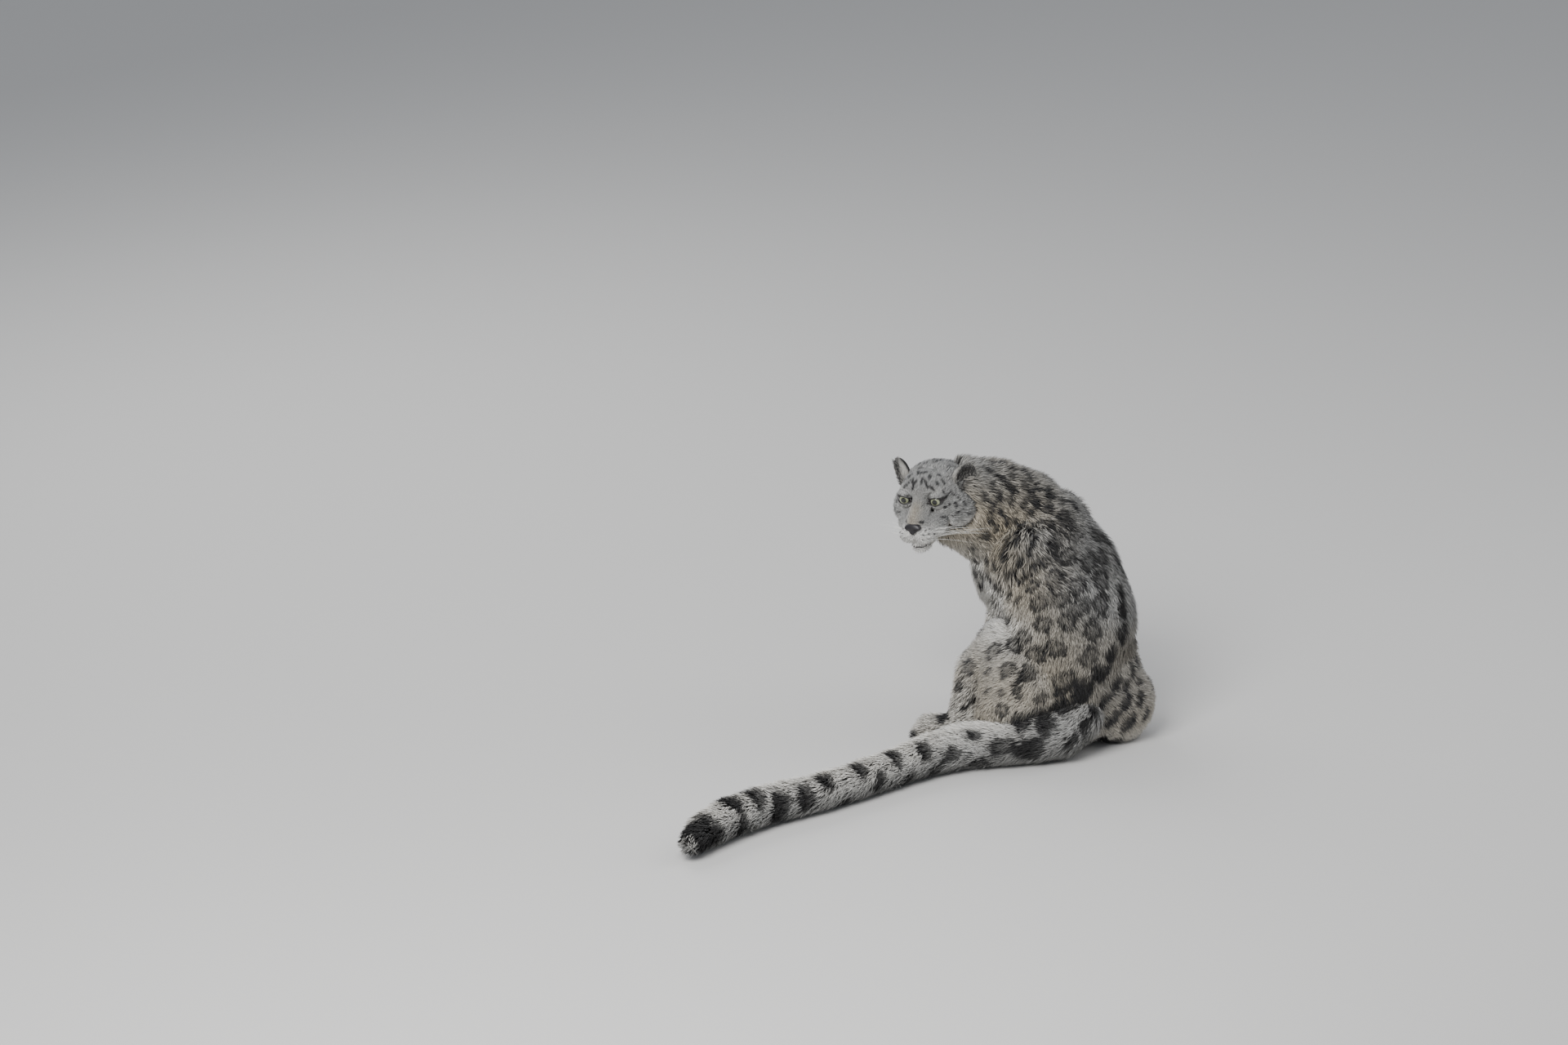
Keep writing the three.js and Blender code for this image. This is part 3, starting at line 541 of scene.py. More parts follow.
# Black dashes down the back to the tail: u, v, half length, half width, angle
for row in [
    (1368, 752, 9, 6, 80), (1367, 778, 10, 7, 75), (1354, 803, 10, 6.5, 58), (1341, 826, 11, 8, 52),
    (1322, 849, 12, 8, 48), (1300, 869, 13, 9, 42), (1277, 888, 12, 9, 55), (1257, 916, 14, 8, 20),
    (1362, 840, 9, 5, 60), (1349, 858, 10, 5.5, 55), (1333, 873, 9, 5.5, 50), (1322, 890, 7, 5, 50),
    (1306, 905, 9, 4.5, 45), (1294, 920, 6, 4, 45),
    (1316, 838, 11, 4, 25), (1298, 848, 9, 4, 15), (1290, 865, 12, 4.5, 30), (1268, 876, 11, 5, 20),
    (1366, 730, 9, 5, 85), (1368, 706, 9, 4.5, 95), (1360, 690, 8, 5, 110), (1349, 668, 9, 5, 120),
    (1322, 630, 9, 5.5, 125), (1312, 612, 8, 5, 130), (1301, 599, 8, 5, 135), (1284, 585, 9, 4, 150),
    (1262, 573, 9, 3.5, 160), (1244, 568, 7, 3, 165), (1385, 780, 8, 4, 90), (1386, 812, 8, 4, 80),
    (1376, 842, 7, 4, 60), (1391, 838, 5, 3.5, 40), (1248, 888, 9, 8, 70),
]:
    spot(row[0], row[1], row[2] * 1.15, row[3] * 1.25, row[4])
# Broken rosettes of the flank and thigh: u, v, half length, half width, angle, how light the middle is
for row in [
    (1214, 770, 9, 8, 20, 0.8), (1238, 764, 8, 7, 0, 0.8), (1194, 792, 9, 7, 40, 0.7), (1219, 802, 10, 9, 60, 0.8),
    (1242, 795, 12, 10, -30, 0.75), (1189, 818, 9, 7, 60, 0.5), (1235, 824, 9, 8, 0, 0.6), (1259, 828, 10, 8, 20, 0.3),
    (1270, 804, 11, 9, 0, 0.8), (1294, 796, 11, 9, -30, 0.8), (1280, 769, 10, 9, 0, 0.7), (1309, 764, 11, 9, 30, 0.7),
    (1261, 783, 10, 7, -20, 0.7), (1175, 842, 8, 5, 45, 0.3), (1199, 837, 7, 5, 0, 0.6), (1245, 848, 11, 5, 100, 0.2),
    (1168, 815, 5, 3.5, 70, 0), (1229, 872, 8, 6, -40, 0.7), (1206, 885, 5, 3, 0, 0), (1302, 836, 14, 10, 20, 0.7),
    (1330, 806, 13, 10, 50, 0.6), (1336, 776, 12, 10, 70, 0.6), (1322, 748, 12, 9, 60, 0.6), (1345, 745, 12, 9, 80, 0.6),
    (1300, 738, 11, 9, 30, 0.7), (1276, 742, 10, 8, 20, 0.7), (1320, 722, 12, 9, 60, 0.6), (1295, 712, 12, 10, 50, 0.7),
    (1345, 716, 12, 9, 90, 0.6), (1270, 720, 10, 7, 30, 0.6), (1332, 694, 12, 9, 60, 0.65), (1308, 686, 12, 9, 50, 0.7),
    (1285, 690, 11, 8, 40, 0.7), (1262, 700, 9, 7, 40, 0.6), (1340, 664, 11, 9, 110, 0.5), (1318, 660, 11, 9, 60, 0.6),
    (1296, 664, 11, 8, 50, 0.6), (1304, 645, 10, 8, 40, 0.3), (1252, 737, 7, 4, 30, 0), (1345, 690, 9, 7, 80, 0.3),
    (1157, 878, 9, 8, 70, 0), (1273, 856, 9, 5, 20, 0.3), (1214, 826, 7, 5, 0, 0.5), (1190, 858, 6, 4, 30, 0.2),
    (1213, 848, 6, 5, 20, 0.5), (1180, 868, 5, 3, 30, 0), (1228, 850, 6, 4, 80, 0.4), (1165, 860, 5, 3, 50, 0),
]:
    spot(*row)
# Small dark spots of the neck and shoulder
for row in [
    (1203, 570, 3.5, 3, 0), (1214, 566, 4, 3, 0), (1225, 573, 4, 3, 20), (1237, 581, 5, 3.5, 40), (1209, 582, 5, 4, 30),
    (1252, 584, 5, 4, 30), (1240, 590, 5, 3.5, 80), (1224, 592, 5, 3.5, 100), (1260, 592, 5, 4, 100),
    (1203, 608, 5, 3, 120), (1222, 612, 5, 4, 80), (1240, 606, 5, 4, 40), (1270, 603, 5, 4, 60), (1283, 612, 7, 5, 110),
    (1285, 627, 7, 5, 100), (1300, 638, 8, 5, 40), (1225, 628, 6, 3, 120), (1212, 636, 6, 3.5, 100), (1243, 640, 4, 4, 0),
    (1250, 648, 7, 5, 60), (1246, 664, 6, 5, 80), (1232, 656, 5, 4, 60), (1208, 654, 5, 3.5, 100), (1222, 668, 5, 4, 100),
    (1192, 667, 5, 3, 80), (1199, 680, 6, 3.5, 90), (1214, 686, 7, 4, 90), (1232, 684, 6, 4, 80), (1250, 690, 8, 4, 80),
    (1203, 700, 5, 4, 100), (1194, 706, 5, 3, 80), (1218, 706, 6, 4, 90), (1236, 706, 7, 4, 80), (1252, 712, 6, 4, 60),
    (1210, 716, 5, 4, 60), (1226, 720, 6, 5, 80), (1241, 728, 6, 4, 40), (1206, 737, 6, 3.5, 110), (1222, 738, 4, 3, 0),
    (1268, 662, 7, 3.5, 40), (1274, 645, 7, 3, 35), (1262, 676, 6, 4, 70), (1272, 690, 6, 3.5, 40),
    (1232, 566, 5, 3, 10), (1246, 574, 5, 3, 30), (1216, 574, 4, 3, 40), (1232, 600, 5, 3, 60), (1214, 600, 5, 3, 80),
    (1254, 600, 5, 4, 80), (1262, 612, 6, 4, 60), (1252, 622, 5, 3, 40), (1236, 618, 5, 3, 100), (1214, 622, 5, 3, 100),
    (1270, 622, 6, 4, 80), (1262, 634, 6, 4, 60), (1234, 640, 5, 3, 90), (1222, 648, 5, 3, 90), (1262, 652, 6, 4, 60),
    (1288, 648, 7, 4, 60), (1236, 672, 6, 3.5, 80), (1224, 694, 6, 3.5, 80), (1244, 702, 6, 4, 60), (1210, 704, 5, 3, 90),
    (1286, 670, 6, 4, 50), (1300, 622, 7, 4, 70), (1270, 584, 6, 3.5, 150), (1290, 600, 7, 4, 140), (1312, 628, 7, 5, 120),
]:
    spot(row[0], row[1], row[2] * 1.15, row[3] * 1.2, row[4])
# Blotches and rings of the tail
for row in [
    (1225, 913, 12, 7, 10, 0.3), (1195, 926, 11, 5, 5, 0.3), (1190, 903, 7, 5, 0), (1160, 899, 10, 5, 0),
    (1163, 922, 9, 6, 10, 0.2), (1127, 923, 9, 7, 70), (1118, 901, 8, 4, 10), (1141, 938, 9, 5, 20, 0.2),
    (1091, 932, 8, 8, 70), (1106, 950, 8, 5, 20), (1070, 958, 9, 6, 30), (1048, 947, 8, 9, 70), (1084, 915, 8, 4, 15),
    (1008, 962, 8, 10, 70), (1030, 976, 9, 6, 30), (981, 978, 9, 11, 70), (950, 987, 11, 12, 70), (919, 978, 9, 13, 70),
    (1020, 944, 6, 4, 30), (986, 952, 7, 5, 40), (955, 965, 8, 6, 60), (892, 987, 9, 16, 60), (903, 1010, 8, 7, 60),
    (862, 1000, 8, 18, 50), (872, 1022, 8, 9, 50), (833, 1020, 12, 20, 50), (826, 1040, 9, 14, 60),
]:
    spot(row[0], row[1], row[2] * 1.2, row[3] * 1.15, *row[4:])
mark(np.array((-944, -246, 46)) * MM, (0.6, 0.5, 0.6), 30, 34)
mark(np.array((-915, -222, 62)) * MM, (0.6, 0.5, 0.6), 12, 24)
# Dark streaks of the far haunch, enlarged 1.3 times so that they also darken that shaded side as painted shade
for row in [
    (1376, 862, 9, 5, 60), (1394, 858, 7, 4, 70), (1360, 880, 10, 5, 50), (1381, 884, 9, 5, 60), (1344, 900, 9, 5, 40),
    (1364, 902, 9, 5, 30), (1398, 874, 6, 4, 80), (1324, 916, 9, 5, 20), (1386, 902, 8, 4, 40), (1404, 840, 6, 4, 80),
    (1408, 862, 5, 4, 80), (1400, 892, 6, 3, 60), (1342, 918, 9, 4, 10), (1382, 824, 7, 4, 80), (1395, 806, 6, 4, 85),
]:
    spot(row[0], row[1], row[2] * 1.3, row[3] * 1.3, row[4])
visible = len(SPOTS)

# The sides that the view doesn't show carry the same kinds of marking, spread by chance
places, facing = scatter(body, 4200, lambda q: np.ones(len(q)))
share, along_way = survey(places)
kinds = np.array([s[0] for s in SEGMENTS])
strongest = kinds[share.argmax(axis=0)]
axes = np.array([unit((s[2] - s[1])[None])[0] for s in SEGMENTS])[share.argmax(axis=0)]
SPACING = {"trunk": 0.042, "chest": 0.05, "seat": 0.045, "foreleg": 0.026, "thigh": 0.034, "hindleg": 0.024, "tail": 0.045}
centres = [s[0] for s in SPOTS]
for q, n, kind, axis in zip(places, facing, strongest, axes):
    away = Vector(q) - camera.location
    hit = body_tree.ray_cast(camera.location, away.normalized())
    shows = hit[0] is not None and (hit[0] - Vector(q)).length < 0.012
    if kind == "chest" and rng.random() < 0.7 or shows and kind != "tail" and n @ np.array(look) < -0.25:
        continue
    if min(np.linalg.norm(q - c) for c in centres) < SPACING[kind] * (0.9 + 0.3 * rng.random()):
        continue
    if shows and kind == "tail" and n @ np.array(look) < -0.1:
        continue
    centres.append(q)
    lie = axis - n * (axis @ n)
    lie /= max(np.linalg.norm(lie), 1e-6)
    spine_near = kind == "trunk" and n @ np.array([0.55, -0.65, 0.52]) > 0.8
    big = {"trunk": 17, "chest": 11, "seat": 15, "foreleg": 8, "thigh": 13, "hindleg": 7, "tail": 15}[kind]
    long_half = big * rng.uniform(0.8, 1.2)
    ring = 0.0 if kind in ("foreleg", "hindleg", "chest") or spine_near else 0.65
    mark(q, lie, long_half, long_half * (0.45 if spine_near else 0.75), 0.25 if kind == "tail" else ring, 0.95)

# Face spots, on the near side from the view and on the other side by mirror
first_face = len(SPOTS)
for row in [
    (1114, 584, 4, 1.8, 60), (1121, 591, 4, 1.8, 60), (1118, 598, 3.5, 1.6, 70), (1126, 581, 4, 1.8, 50),
    (1134, 570, 4, 2.0, 30), (1140, 564, 4, 2.0, 20), (1146, 569, 4, 2, 10), (1152, 568, 4, 2, 0), (1158, 564, 3.5, 2, 0),
    (1122, 570, 3.5, 1.8, 40), (1127, 575, 3.5, 1.8, 40), (1133, 580, 3.5, 1.8, 60), (1138, 585, 4, 1.6, 80),
    (1143, 577, 3.5, 1.8, 50), (1149, 583, 4, 1.8, 40), (1134, 593, 7, 1.4, 110), (1141, 598, 5, 1.5, 140),
    (1129, 590, 4, 1.5, 80), (1153, 602, 4, 1.8, 150), (1158, 610, 2.6, 1.8, 0), (1158, 621, 2.2, 1.8, 0),
    (1162, 618, 2.4, 2, 0), (1170, 618, 4.5, 2.4, 110), (1173, 627, 2.8, 2.4, 0), (1184, 628, 5, 2, 160),
    (1166, 631, 3, 1.4, 10), (1154, 634, 4, 1.4, 10), (1172, 609, 6, 1.1, 135), (1165, 604, 4, 1.2, 140),
    (1128, 640, 3, 1.6, 10), (1162, 574, 4, 1.8, 20), (1154, 590, 4, 1.8, 150), (1147, 592, 3.5, 1.6, 120),
    (1133, 650, 1.5, 1.0, 0), (1138, 648.5, 1.5, 1.0, 0), (1143, 648, 1.4, 1.0, 0), (1131, 655.5, 1.5, 1.0, 0),
    (1137, 654.5, 1.5, 1.0, 0), (1143, 654, 1.5, 1.0, 0), (1130, 661, 1.5, 1.0, 0), (1136, 660, 1.5, 1.0, 0),
    (1143, 660, 1.5, 1, 0), (1171, 644, 3, 1.6, 20), (1180, 617, 4, 1.8, 100), (1178, 640, 3, 1.6, 10),
]:
    spot(*row, tree=head_tree)
turn3 = np.array(HEAD.to_3x3())
for place, along, half_long, half_wide, ring, strength in SPOTS[first_face:]:
    local = to_head(place[None])[0]
    if local[0] < -6:
        mirrored = (along @ turn3) * np.array([-1, 1, 1])
        mark(from_head((local * np.array([-1, 1, 1]))[None])[0], turn3 @ mirrored, half_long, half_wide, ring, strength)
face_spots = len(SPOTS)

# A flat map of each skin, which gives every tuft its patch
def unwrap(piece):
    only(piece)
    bpy.ops.object.duplicate()
    flat = bpy.context.object
    thin = flat.modifiers.new("thin", "DECIMATE")
    thin.ratio = min(1.0, 5000 / len(flat.data.polygons))
    bpy.ops.object.modifier_apply(modifier="thin")
    bpy.ops.object.mode_set(mode="EDIT")
    bpy.ops.mesh.select_all(action="SELECT")
    bpy.ops.uv.smart_project(angle_limit=math.radians(66), island_margin=0.004)
    bpy.ops.object.mode_set(mode="OBJECT")
    flat.data.calc_loop_triangles()
    uv = np.empty(len(flat.data.loops) * 2)
    flat.data.uv_layers.active.data.foreach_get("uv", uv)
    loops = np.array([t.loops for t in flat.data.loop_triangles])
    tri, _ = triangles(flat)
    points = points_of(flat)
    tree = BVHTree.FromPolygons(points.tolist(), tri.tolist())
    found = (tree, points, tri, uv.reshape(-1, 2)[loops])
    bpy.data.objects.remove(flat)
    return found


def flat_place(found, roots):
    tree, points, tri, uv = found
    out = np.empty((len(roots), 2))
    for i, q in enumerate(roots):
        place, _, index, _ = tree.find_nearest(Vector(q))
        a, b, c = points[tri[index]]
        m = np.stack([b - a, c - a], axis=1)
        w = np.linalg.lstsq(m, np.array(place) - a, rcond=None)[0]
        out[i] = uv[index, 0] * (1 - w.sum()) + uv[index, 1] * w[0] + uv[index, 2] * w[1]
    return out


def lie_on_body(points, normals):
    """Which way the coat lies: down the limbs, back along the trunk, and a little downwards."""
    share, _ = survey(points)
    way = share.T @ axes_of_segments
    kinds_share = {k: share[kinds == k].sum(axis=0) for k in LENGTH}
    fall = np.array([0, 0, -0.45])
    way = way + fall * (kinds_share["trunk"] + kinds_share["chest"] + kinds_share["thigh"] * 0.8)[:, None]
    swirl = np.cross(normals, way) * (0.30 * ripple(points, 34) + 0.22 * ripple(points, 13, 7))[:, None]
    way = way + swirl + rng.normal(0, 0.13, way.shape)
    way = way - normals * np.sum(way * normals, axis=1)[:, None]
    return unit(way)


axes_of_segments = np.array([unit((s[2] - s[1])[None])[0] for s in SEGMENTS])
length_of_segments = np.array([s[5] for s in SEGMENTS])
depth_of_segments = np.array([s[6] for s in SEGMENTS])


def hide_under_head(points):
    """Which places of the body are inside the head."""
    local = to_head(points)
    hidden = (local[:, 1] > -190) & (np.abs(local[:, 0]) < 100) & (np.abs(local[:, 2]) < 110)
    for i in np.where(hidden)[0]:
        place, normal, _, _ = head_tree.find_nearest(Vector(points[i]))
        hidden[i] = (Vector(points[i]) - place).dot(normal) < 0.004
    return hidden


def body_coat(name, count, inside):
    """The coat of one part of the body: where it grows comes from inside, which takes places and kinds."""
    def keep(q):
        share, _ = survey(q)
        small = share.T @ length_of_segments
        return inside(q, kinds[share.argmax(axis=0)]) * (30.0 / small) ** 0.8 * ~hide_under_head(q)

    roots, normals = scatter(body, count, keep)
    share, _ = survey(roots)
    long = share.T @ length_of_segments
    deep = share.T @ depth_of_segments
    size = rng.uniform(0.72, 1.18, count)
    lie = lie_on_body(roots, normals)
    base = ground(roots, normals)
    tone = rng.normal(1, 0.16, count)[:, None]
    shift = lie * (long * size * MM)[:, None]
    # Roots at 0.45 of the ground colour: painted shade at the base of the coat, between the tufts
    low = coloured(roots + shift * 0.15, base * 0.45 * tone)
    tip = coloured(roots + shift * 0.7, base * 1.15 * tone)
    return tufts(
        name, roots, normals, lie, long * size * MM, (1.3 + long * 0.055) * rng.uniform(0.8, 1.25, count) * MM,
        np.minimum(deep * rng.uniform(0.55, 1.02, count), long * size * 0.8) * MM,
        low, tip, flat_place(body_map, roots), rings=2, curl=0.10,
    )


def head_coat(name, count, inside):
    def keep(q):
        local = to_head(q)
        clear = np.ones(len(q), bool)
        for s in (-1, 1):
            clear &= ~((almond(local[:, 0], local[:, 2], s) < 1.25) & (local[:, 1] > -30))
        nose = (local - np.array(NOSE_AT)) / np.array([17, 12, 11])
        clear &= np.linalg.norm(nose, axis=1) > 1.0
        clear &= near(local, mouth_line) > 3.4
        clear &= local[:, 1] > -140
        face = smoothstep(local[:, 1], -60, 10)
        return clear * (1 + 2.2 * face) * inside(local)

    roots, normals = scatter(head, count, keep)
    local = to_head(roots)
    x, y, z = local.T
    back = smoothstep(-y, 20, 95)
    chin = np.exp(-((np.abs(x) / 24) ** 2)) * smoothstep(-z, 74, 88) * (y > -30)
    cheek = smoothstep(np.abs(x), 34, 62) * smoothstep(-z, 0, 45)
    long = 7 + 12 * back + 7 * chin + 19 * cheek * (0.4 + back)
    long += 4 * smoothstep(z, 20, 50)
    rise = np.minimum(2.9 + 5.5 * back + 2.2 * chin + 11 * cheek * (0.3 + back), long * 0.6)
    size = rng.uniform(0.75, 1.2, count)
    way = local - np.array([0, 62, -40.0])
    way[:, 1] -= 14
    way[:, 2] -= 30 * cheek + 26 * chin
    way = unit(way) @ turn3.T + rng.normal(0, 0.07, way.shape)
    way = unit(way - normals * np.sum(way * normals, axis=1)[:, None])
    base = ground_head(local)
    tone = rng.normal(1, 0.13, count)[:, None]
    shift = way * (long * size * MM)[:, None]
    # Roots at 0.6 of the face's ground colour: painted shade at the base of the tufts
    return tufts(
        name, roots, normals, way, long * size * MM, (0.9 + long * 0.07) * rng.uniform(0.8, 1.2, count) * MM,
        rise * size * MM, coloured(roots + shift * 0.1, base * 0.6 * tone), coloured(roots + shift * 0.6, base * 1.12 * tone),
        flat_place(head_map, roots), rings=2, curl=0.06,
    )


NOSE_AT = (0, 50, -40.5)
body_map, head_map = unwrap(body), unwrap(head)
K = {"shoulders": 18500, "left": 18500, "back": 18500, "right": 16000, "front": 12000, "legs": 15000, "tail": 16500,
     "tail_end": 9000, "face": 14000, "crown": 11000}
is_trunk = lambda k: np.isin(k, ["trunk", "chest", "seat", "thigh"])
left_side = lambda q: q @ np.array([-0.731, -0.55, 0]) > -0.02 + 0.0 * q[:, 0]
coat = [
    body_coat("coat_shoulders", K["shoulders"], lambda q, k: is_trunk(k) & (q[:, 2] > 0.36)),
    body_coat("coat_left", K["left"], lambda q, k: is_trunk(k) & (q[:, 2] <= 0.36) & left_side(q) & (q[:, 0] < 0.0)),
    body_coat("coat_back", K["back"], lambda q, k: is_trunk(k) & (q[:, 2] <= 0.36) & (q[:, 0] >= 0.0) & (q[:, 1] < 0.06)),
    body_coat("coat_right", K["right"], lambda q, k: is_trunk(k) & (q[:, 2] <= 0.36) & (q[:, 0] >= 0.0) & (q[:, 1] >= 0.06)),
    body_coat("coat_front", K["front"], lambda q, k: is_trunk(k) & (q[:, 2] <= 0.36) & ~left_side(q) & (q[:, 0] < 0.0)),
    body_coat("coat_legs", K["legs"], lambda q, k: np.isin(k, ["foreleg", "hindleg"])),
    body_coat("coat_tail", K["tail"], lambda q, k: (k == "tail") & (q[:, 0] > -0.52)),
    body_coat("coat_tail_end", K["tail_end"], lambda q, k: (k == "tail") & (q[:, 0] <= -0.52)),
    head_coat("coat_face", K["face"], lambda q: q[:, 1] > -42),
    head_coat("coat_crown", K["crown"], lambda q: q[:, 1] <= -42),
]

# The skins carry the same colours, darkened to 0.34 on the body and 0.6 on the head as painted shade where the skin
# shows between the tufts
_, normals = triangles(body)
points = points_of(body)
paint(body, coloured(points, ground(points, normals)) * 0.34)
points = points_of(head)
paint(head, coloured(points, ground_head(to_head(points))) * 0.6)


def principled(name, roughness=0.6, colour=None, **values):
    material = bpy.data.materials.new(name)
    material.use_nodes = True
    shader = material.node_tree.nodes["Principled BSDF"]
    shader.inputs["Roughness"].default_value = roughness
    if colour:
        shader.inputs["Base Color"].default_value = (*colour, 1)
    for key, value in values.items():
        shader.inputs[key].default_value = value
    return material, material.node_tree.nodes, material.node_tree.links, shader


fur, nodes, links, shader = principled("fur", 0.75)
layer = nodes.new("ShaderNodeAttribute")
layer.attribute_name = "coat"
links.new(layer.outputs["Color"], shader.inputs["Base Color"])
shader.inputs["Specular IOR Level"].default_value = 0.25
shader.inputs["Sheen Weight"].default_value = 0.15

skin, nodes, links, shader = principled("skin", 0.85)
layer = nodes.new("ShaderNodeAttribute")
layer.attribute_name = "coat"
links.new(layer.outputs["Color"], shader.inputs["Base Color"])
grain = nodes.new("ShaderNodeTexNoise")
grain.inputs["Scale"].default_value = 900
bump = nodes.new("ShaderNodeBump")
bump.inputs["Strength"].default_value = 0.4
bump.inputs["Distance"].default_value = 0.0006
place = nodes.new("ShaderNodeTexCoord")
links.new(place.outputs["Object"], grain.inputs["Vector"])
links.new(grain.outputs["Fac"], bump.inputs["Height"])
links.new(bump.outputs["Normal"], shader.inputs["Normal"])

leather, nodes, links, shader = principled("nose_leather", 0.42, (0.014, 0.012, 0.014))
lip, *_ = principled("lip", 0.5, (0.018, 0.014, 0.014))
hair, *_ = principled("whisker", 0.5, (0.85, 0.84, 0.80))

for piece in [body, head, *coat]:
    piece.data.materials.clear()
    piece.data.materials.append(skin if piece in (body, head) else fur)


# Eyes: a ball with a clear front, a pale ring and a small round pupil
eye_finish, nodes, links, shader = principled("eye", 0.06)
shader.inputs["Coat Weight"].default_value = 0.5
shader.inputs["Coat Roughness"].default_value = 0.02
layer = nodes.new("ShaderNodeAttribute")
layer.attribute_name = "gaze"
ramp = nodes.new("ShaderNodeValToRGB")
stops = [(0.0, (0.004, 0.004, 0.005)), (0.27, (0.004, 0.004, 0.005)), (0.31, (0.13, 0.14, 0.07)), (0.38, (0.30, 0.31, 0.19)),
         (0.52, (0.25, 0.27, 0.18)), (0.60, (0.05, 0.055, 0.04)), (0.66, (0.012, 0.010, 0.010)), (1.0, (0.02, 0.015, 0.014))]
while len(ramp.color_ramp.elements) < len(stops):
    ramp.color_ramp.elements.new(0.5)
for element, (where, colour) in zip(ramp.color_ramp.elements, stops):
    element.position = where
    element.color = (*colour, 1)
links.new(layer.outputs["Fac"], ramp.inputs["Fac"])
links.new(ramp.outputs["Color"], shader.inputs["Base Color"])

eyes = []
for name, s in (("eye_left", -1), ("eye_right", 1)):
    piece = ball(on_head(EYE["side"] * s, EYE["front"], 0), (EYE["radius"],) * 3, HEAD, segments=96)
    piece.name = piece.data.name = "look_" + name
    bpy.ops.object.shade_smooth()
    local = (to_head(points_of(piece)) - np.array([EYE["side"] * s, EYE["front"], 0])) / EYE["radius"]
    gaze = unit(np.array([[-0.10, 1, 0.06]]))[0]
    angle = np.arccos(np.clip(local @ gaze, -1, 1))
    dome = 0.07 * (1 - smoothstep(angle, 0.2, 0.75))
    put_points(piece, from_head((local * (1 + dome)[:, None]) * EYE["radius"] + np.array([EYE["side"] * s, EYE["front"], 0])))
    values = piece.data.attributes.new("gaze", "FLOAT", "POINT")
    values.data.foreach_set("value", np.clip(angle / 1.05, 0, 1))
    piece.data.materials.append(eye_finish)
    eyes.append(piece)


def tube(name, points, radii, finish, sides=8):
    """A smooth thin tube through places, made from a curve."""
    curve = bpy.data.curves.new(name, "CURVE")
    curve.dimensions = "3D"
    curve.bevel_depth = 1.0
    curve.bevel_resolution = max(0, sides // 4 - 1)
    curve.use_fill_caps = True
    line = curve.splines.new("POLY")
    line.points.add(len(points) - 1)
    for point, place, radius in zip(line.points, points, radii):
        point.co = (*place, 1)
        point.radius = radius * MM
    piece = bpy.data.objects.new(name, curve)
    bpy.context.scene.collection.objects.link(piece)
    only(piece)
    bpy.ops.object.convert(target="MESH")
    piece = bpy.context.object
    piece.data.materials.append(finish)
    bpy.ops.object.shade_smooth()
    return piece


def joined(pieces, name):
    bpy.ops.object.select_all(action="DESELECT")
    for piece in pieces:
        piece.select_set(True)
    bpy.context.view_layer.objects.active = pieces[0]
    bpy.ops.object.join()
    piece = bpy.context.object
    piece.name = piece.data.name = name
    return piece


# Black rims of the lids, with a line down from the inner corner
rims = []
for s in (-1, 1):
    for way in (1, -1):
        line = []
        for t in np.linspace(-1, 1, 25):
            dx = 15.6 * t
            top = 8.3 if way > 0 else 7.4
            dz = way * top * (1 - abs(t) ** 1.7) ** (1 / 1.7) + 0.10 * dx
            bulge = math.sqrt(max(EYE["radius"] ** 2 - dx * dx - dz * dz, 9)) + 0.7
            line.append(on_head(EYE["side"] * s + dx * s, EYE["front"] + bulge, dz))
        thick = [0.9 + 0.4 * (1 - abs(t)) - 0.2 * t for t in np.linspace(-1, 1, 25)]
        rims.append(tube("rim", line, thick, lip))
    tear = [head_tree.find_nearest(on_head((EYE["side"] - 15 - 6 * t) * s, 4 + 12 * t, -2 - 6 * t))[0] for t in np.linspace(0, 1, 9)]
    rims.append(tube("tear", tear, [1.6 - 1.1 * t for t in np.linspace(0, 1, 9)], lip))
rims = joined(rims, "eye_rims")

# Lips
lip_way = np.array([to_head(np.array([head_tree.find_nearest(Vector(q))[0]]))[0] for q in from_head(mouth_line)])
lip_way += unit(lip_way - np.array([0, -20, -60.0])) * 2.0
lip_way = np.array([lip_way[max(0, i - 4): i + 5].mean(axis=0) for i in range(len(lip_way))])
lips = tube("lips", [Vector(q) for q in from_head(lip_way)], [1.3 + 0.9 * abs(2 * i / (len(lip_way) - 1) - 1) ** 2 for i in range(len(lip_way))], lip)

# Nose leather
nose = ball(on_head(0, 0, 0), (1000,) * 3, HEAD, segments=48)
nose.name = nose.data.name = "nose_leather"
h = unit(to_head(points_of(nose)))
narrow = 0.24 + 0.76 * np.clip(h[:, 2] + 0.85, 0, 1)
h = np.stack([h[:, 0] * 18.5 * narrow, np.sign(h[:, 1]) * np.abs(h[:, 1]) ** 0.6 * 7.5 - 3 * h[:, 2], h[:, 2] * 11.5], axis=1)
for s in (-1, 1):
    hole = np.linalg.norm((h - np.array([8.2 * s, 8, -2.5])) / np.array([4.2, 9, 3.2]), axis=1)
    h[:, 1] -= 4.5 * np.exp(-(hole**3)) * (h[:, 1] > 0)
h[:, 1] -= 1.6 * np.exp(-((h[:, 0] / 1.3) ** 2)) * (h[:, 2] < 2)
put_points(nose, from_head(h + np.array([0, 48.0, -40.5])))
nose.data.materials.append(leather)
bpy.ops.object.shade_smooth()

# Whiskers
whiskers = []
for s in (-1, 1):
    for i in range(14):
        z, y = -50 - 5.2 * (i % 4) + rng.normal(0, 0.8), 34 - 5 * (i // 4) + rng.normal(0, 1)
        root = head_tree.find_nearest(on_head(30 * s, y, z))[0]
        long = rng.uniform(55, 95)
        out = Vector((0.95 * s, -0.42 - 0.3 * rng.random(), -0.18 + 0.28 * rng.random()))
        line = []
        for t in np.linspace(0, 1, 12):
            bend = HEAD.to_3x3() @ (out * long * t + Vector((0, -10 * t * t, -16 * t * t)))
            line.append(root + bend * MM)
        whiskers.append(tube("whisker", line, [0.24 * (1 - t) + 0.06 for t in np.linspace(0, 1, 12)], hair, 4))
whiskers = joined(whiskers, "whiskers")
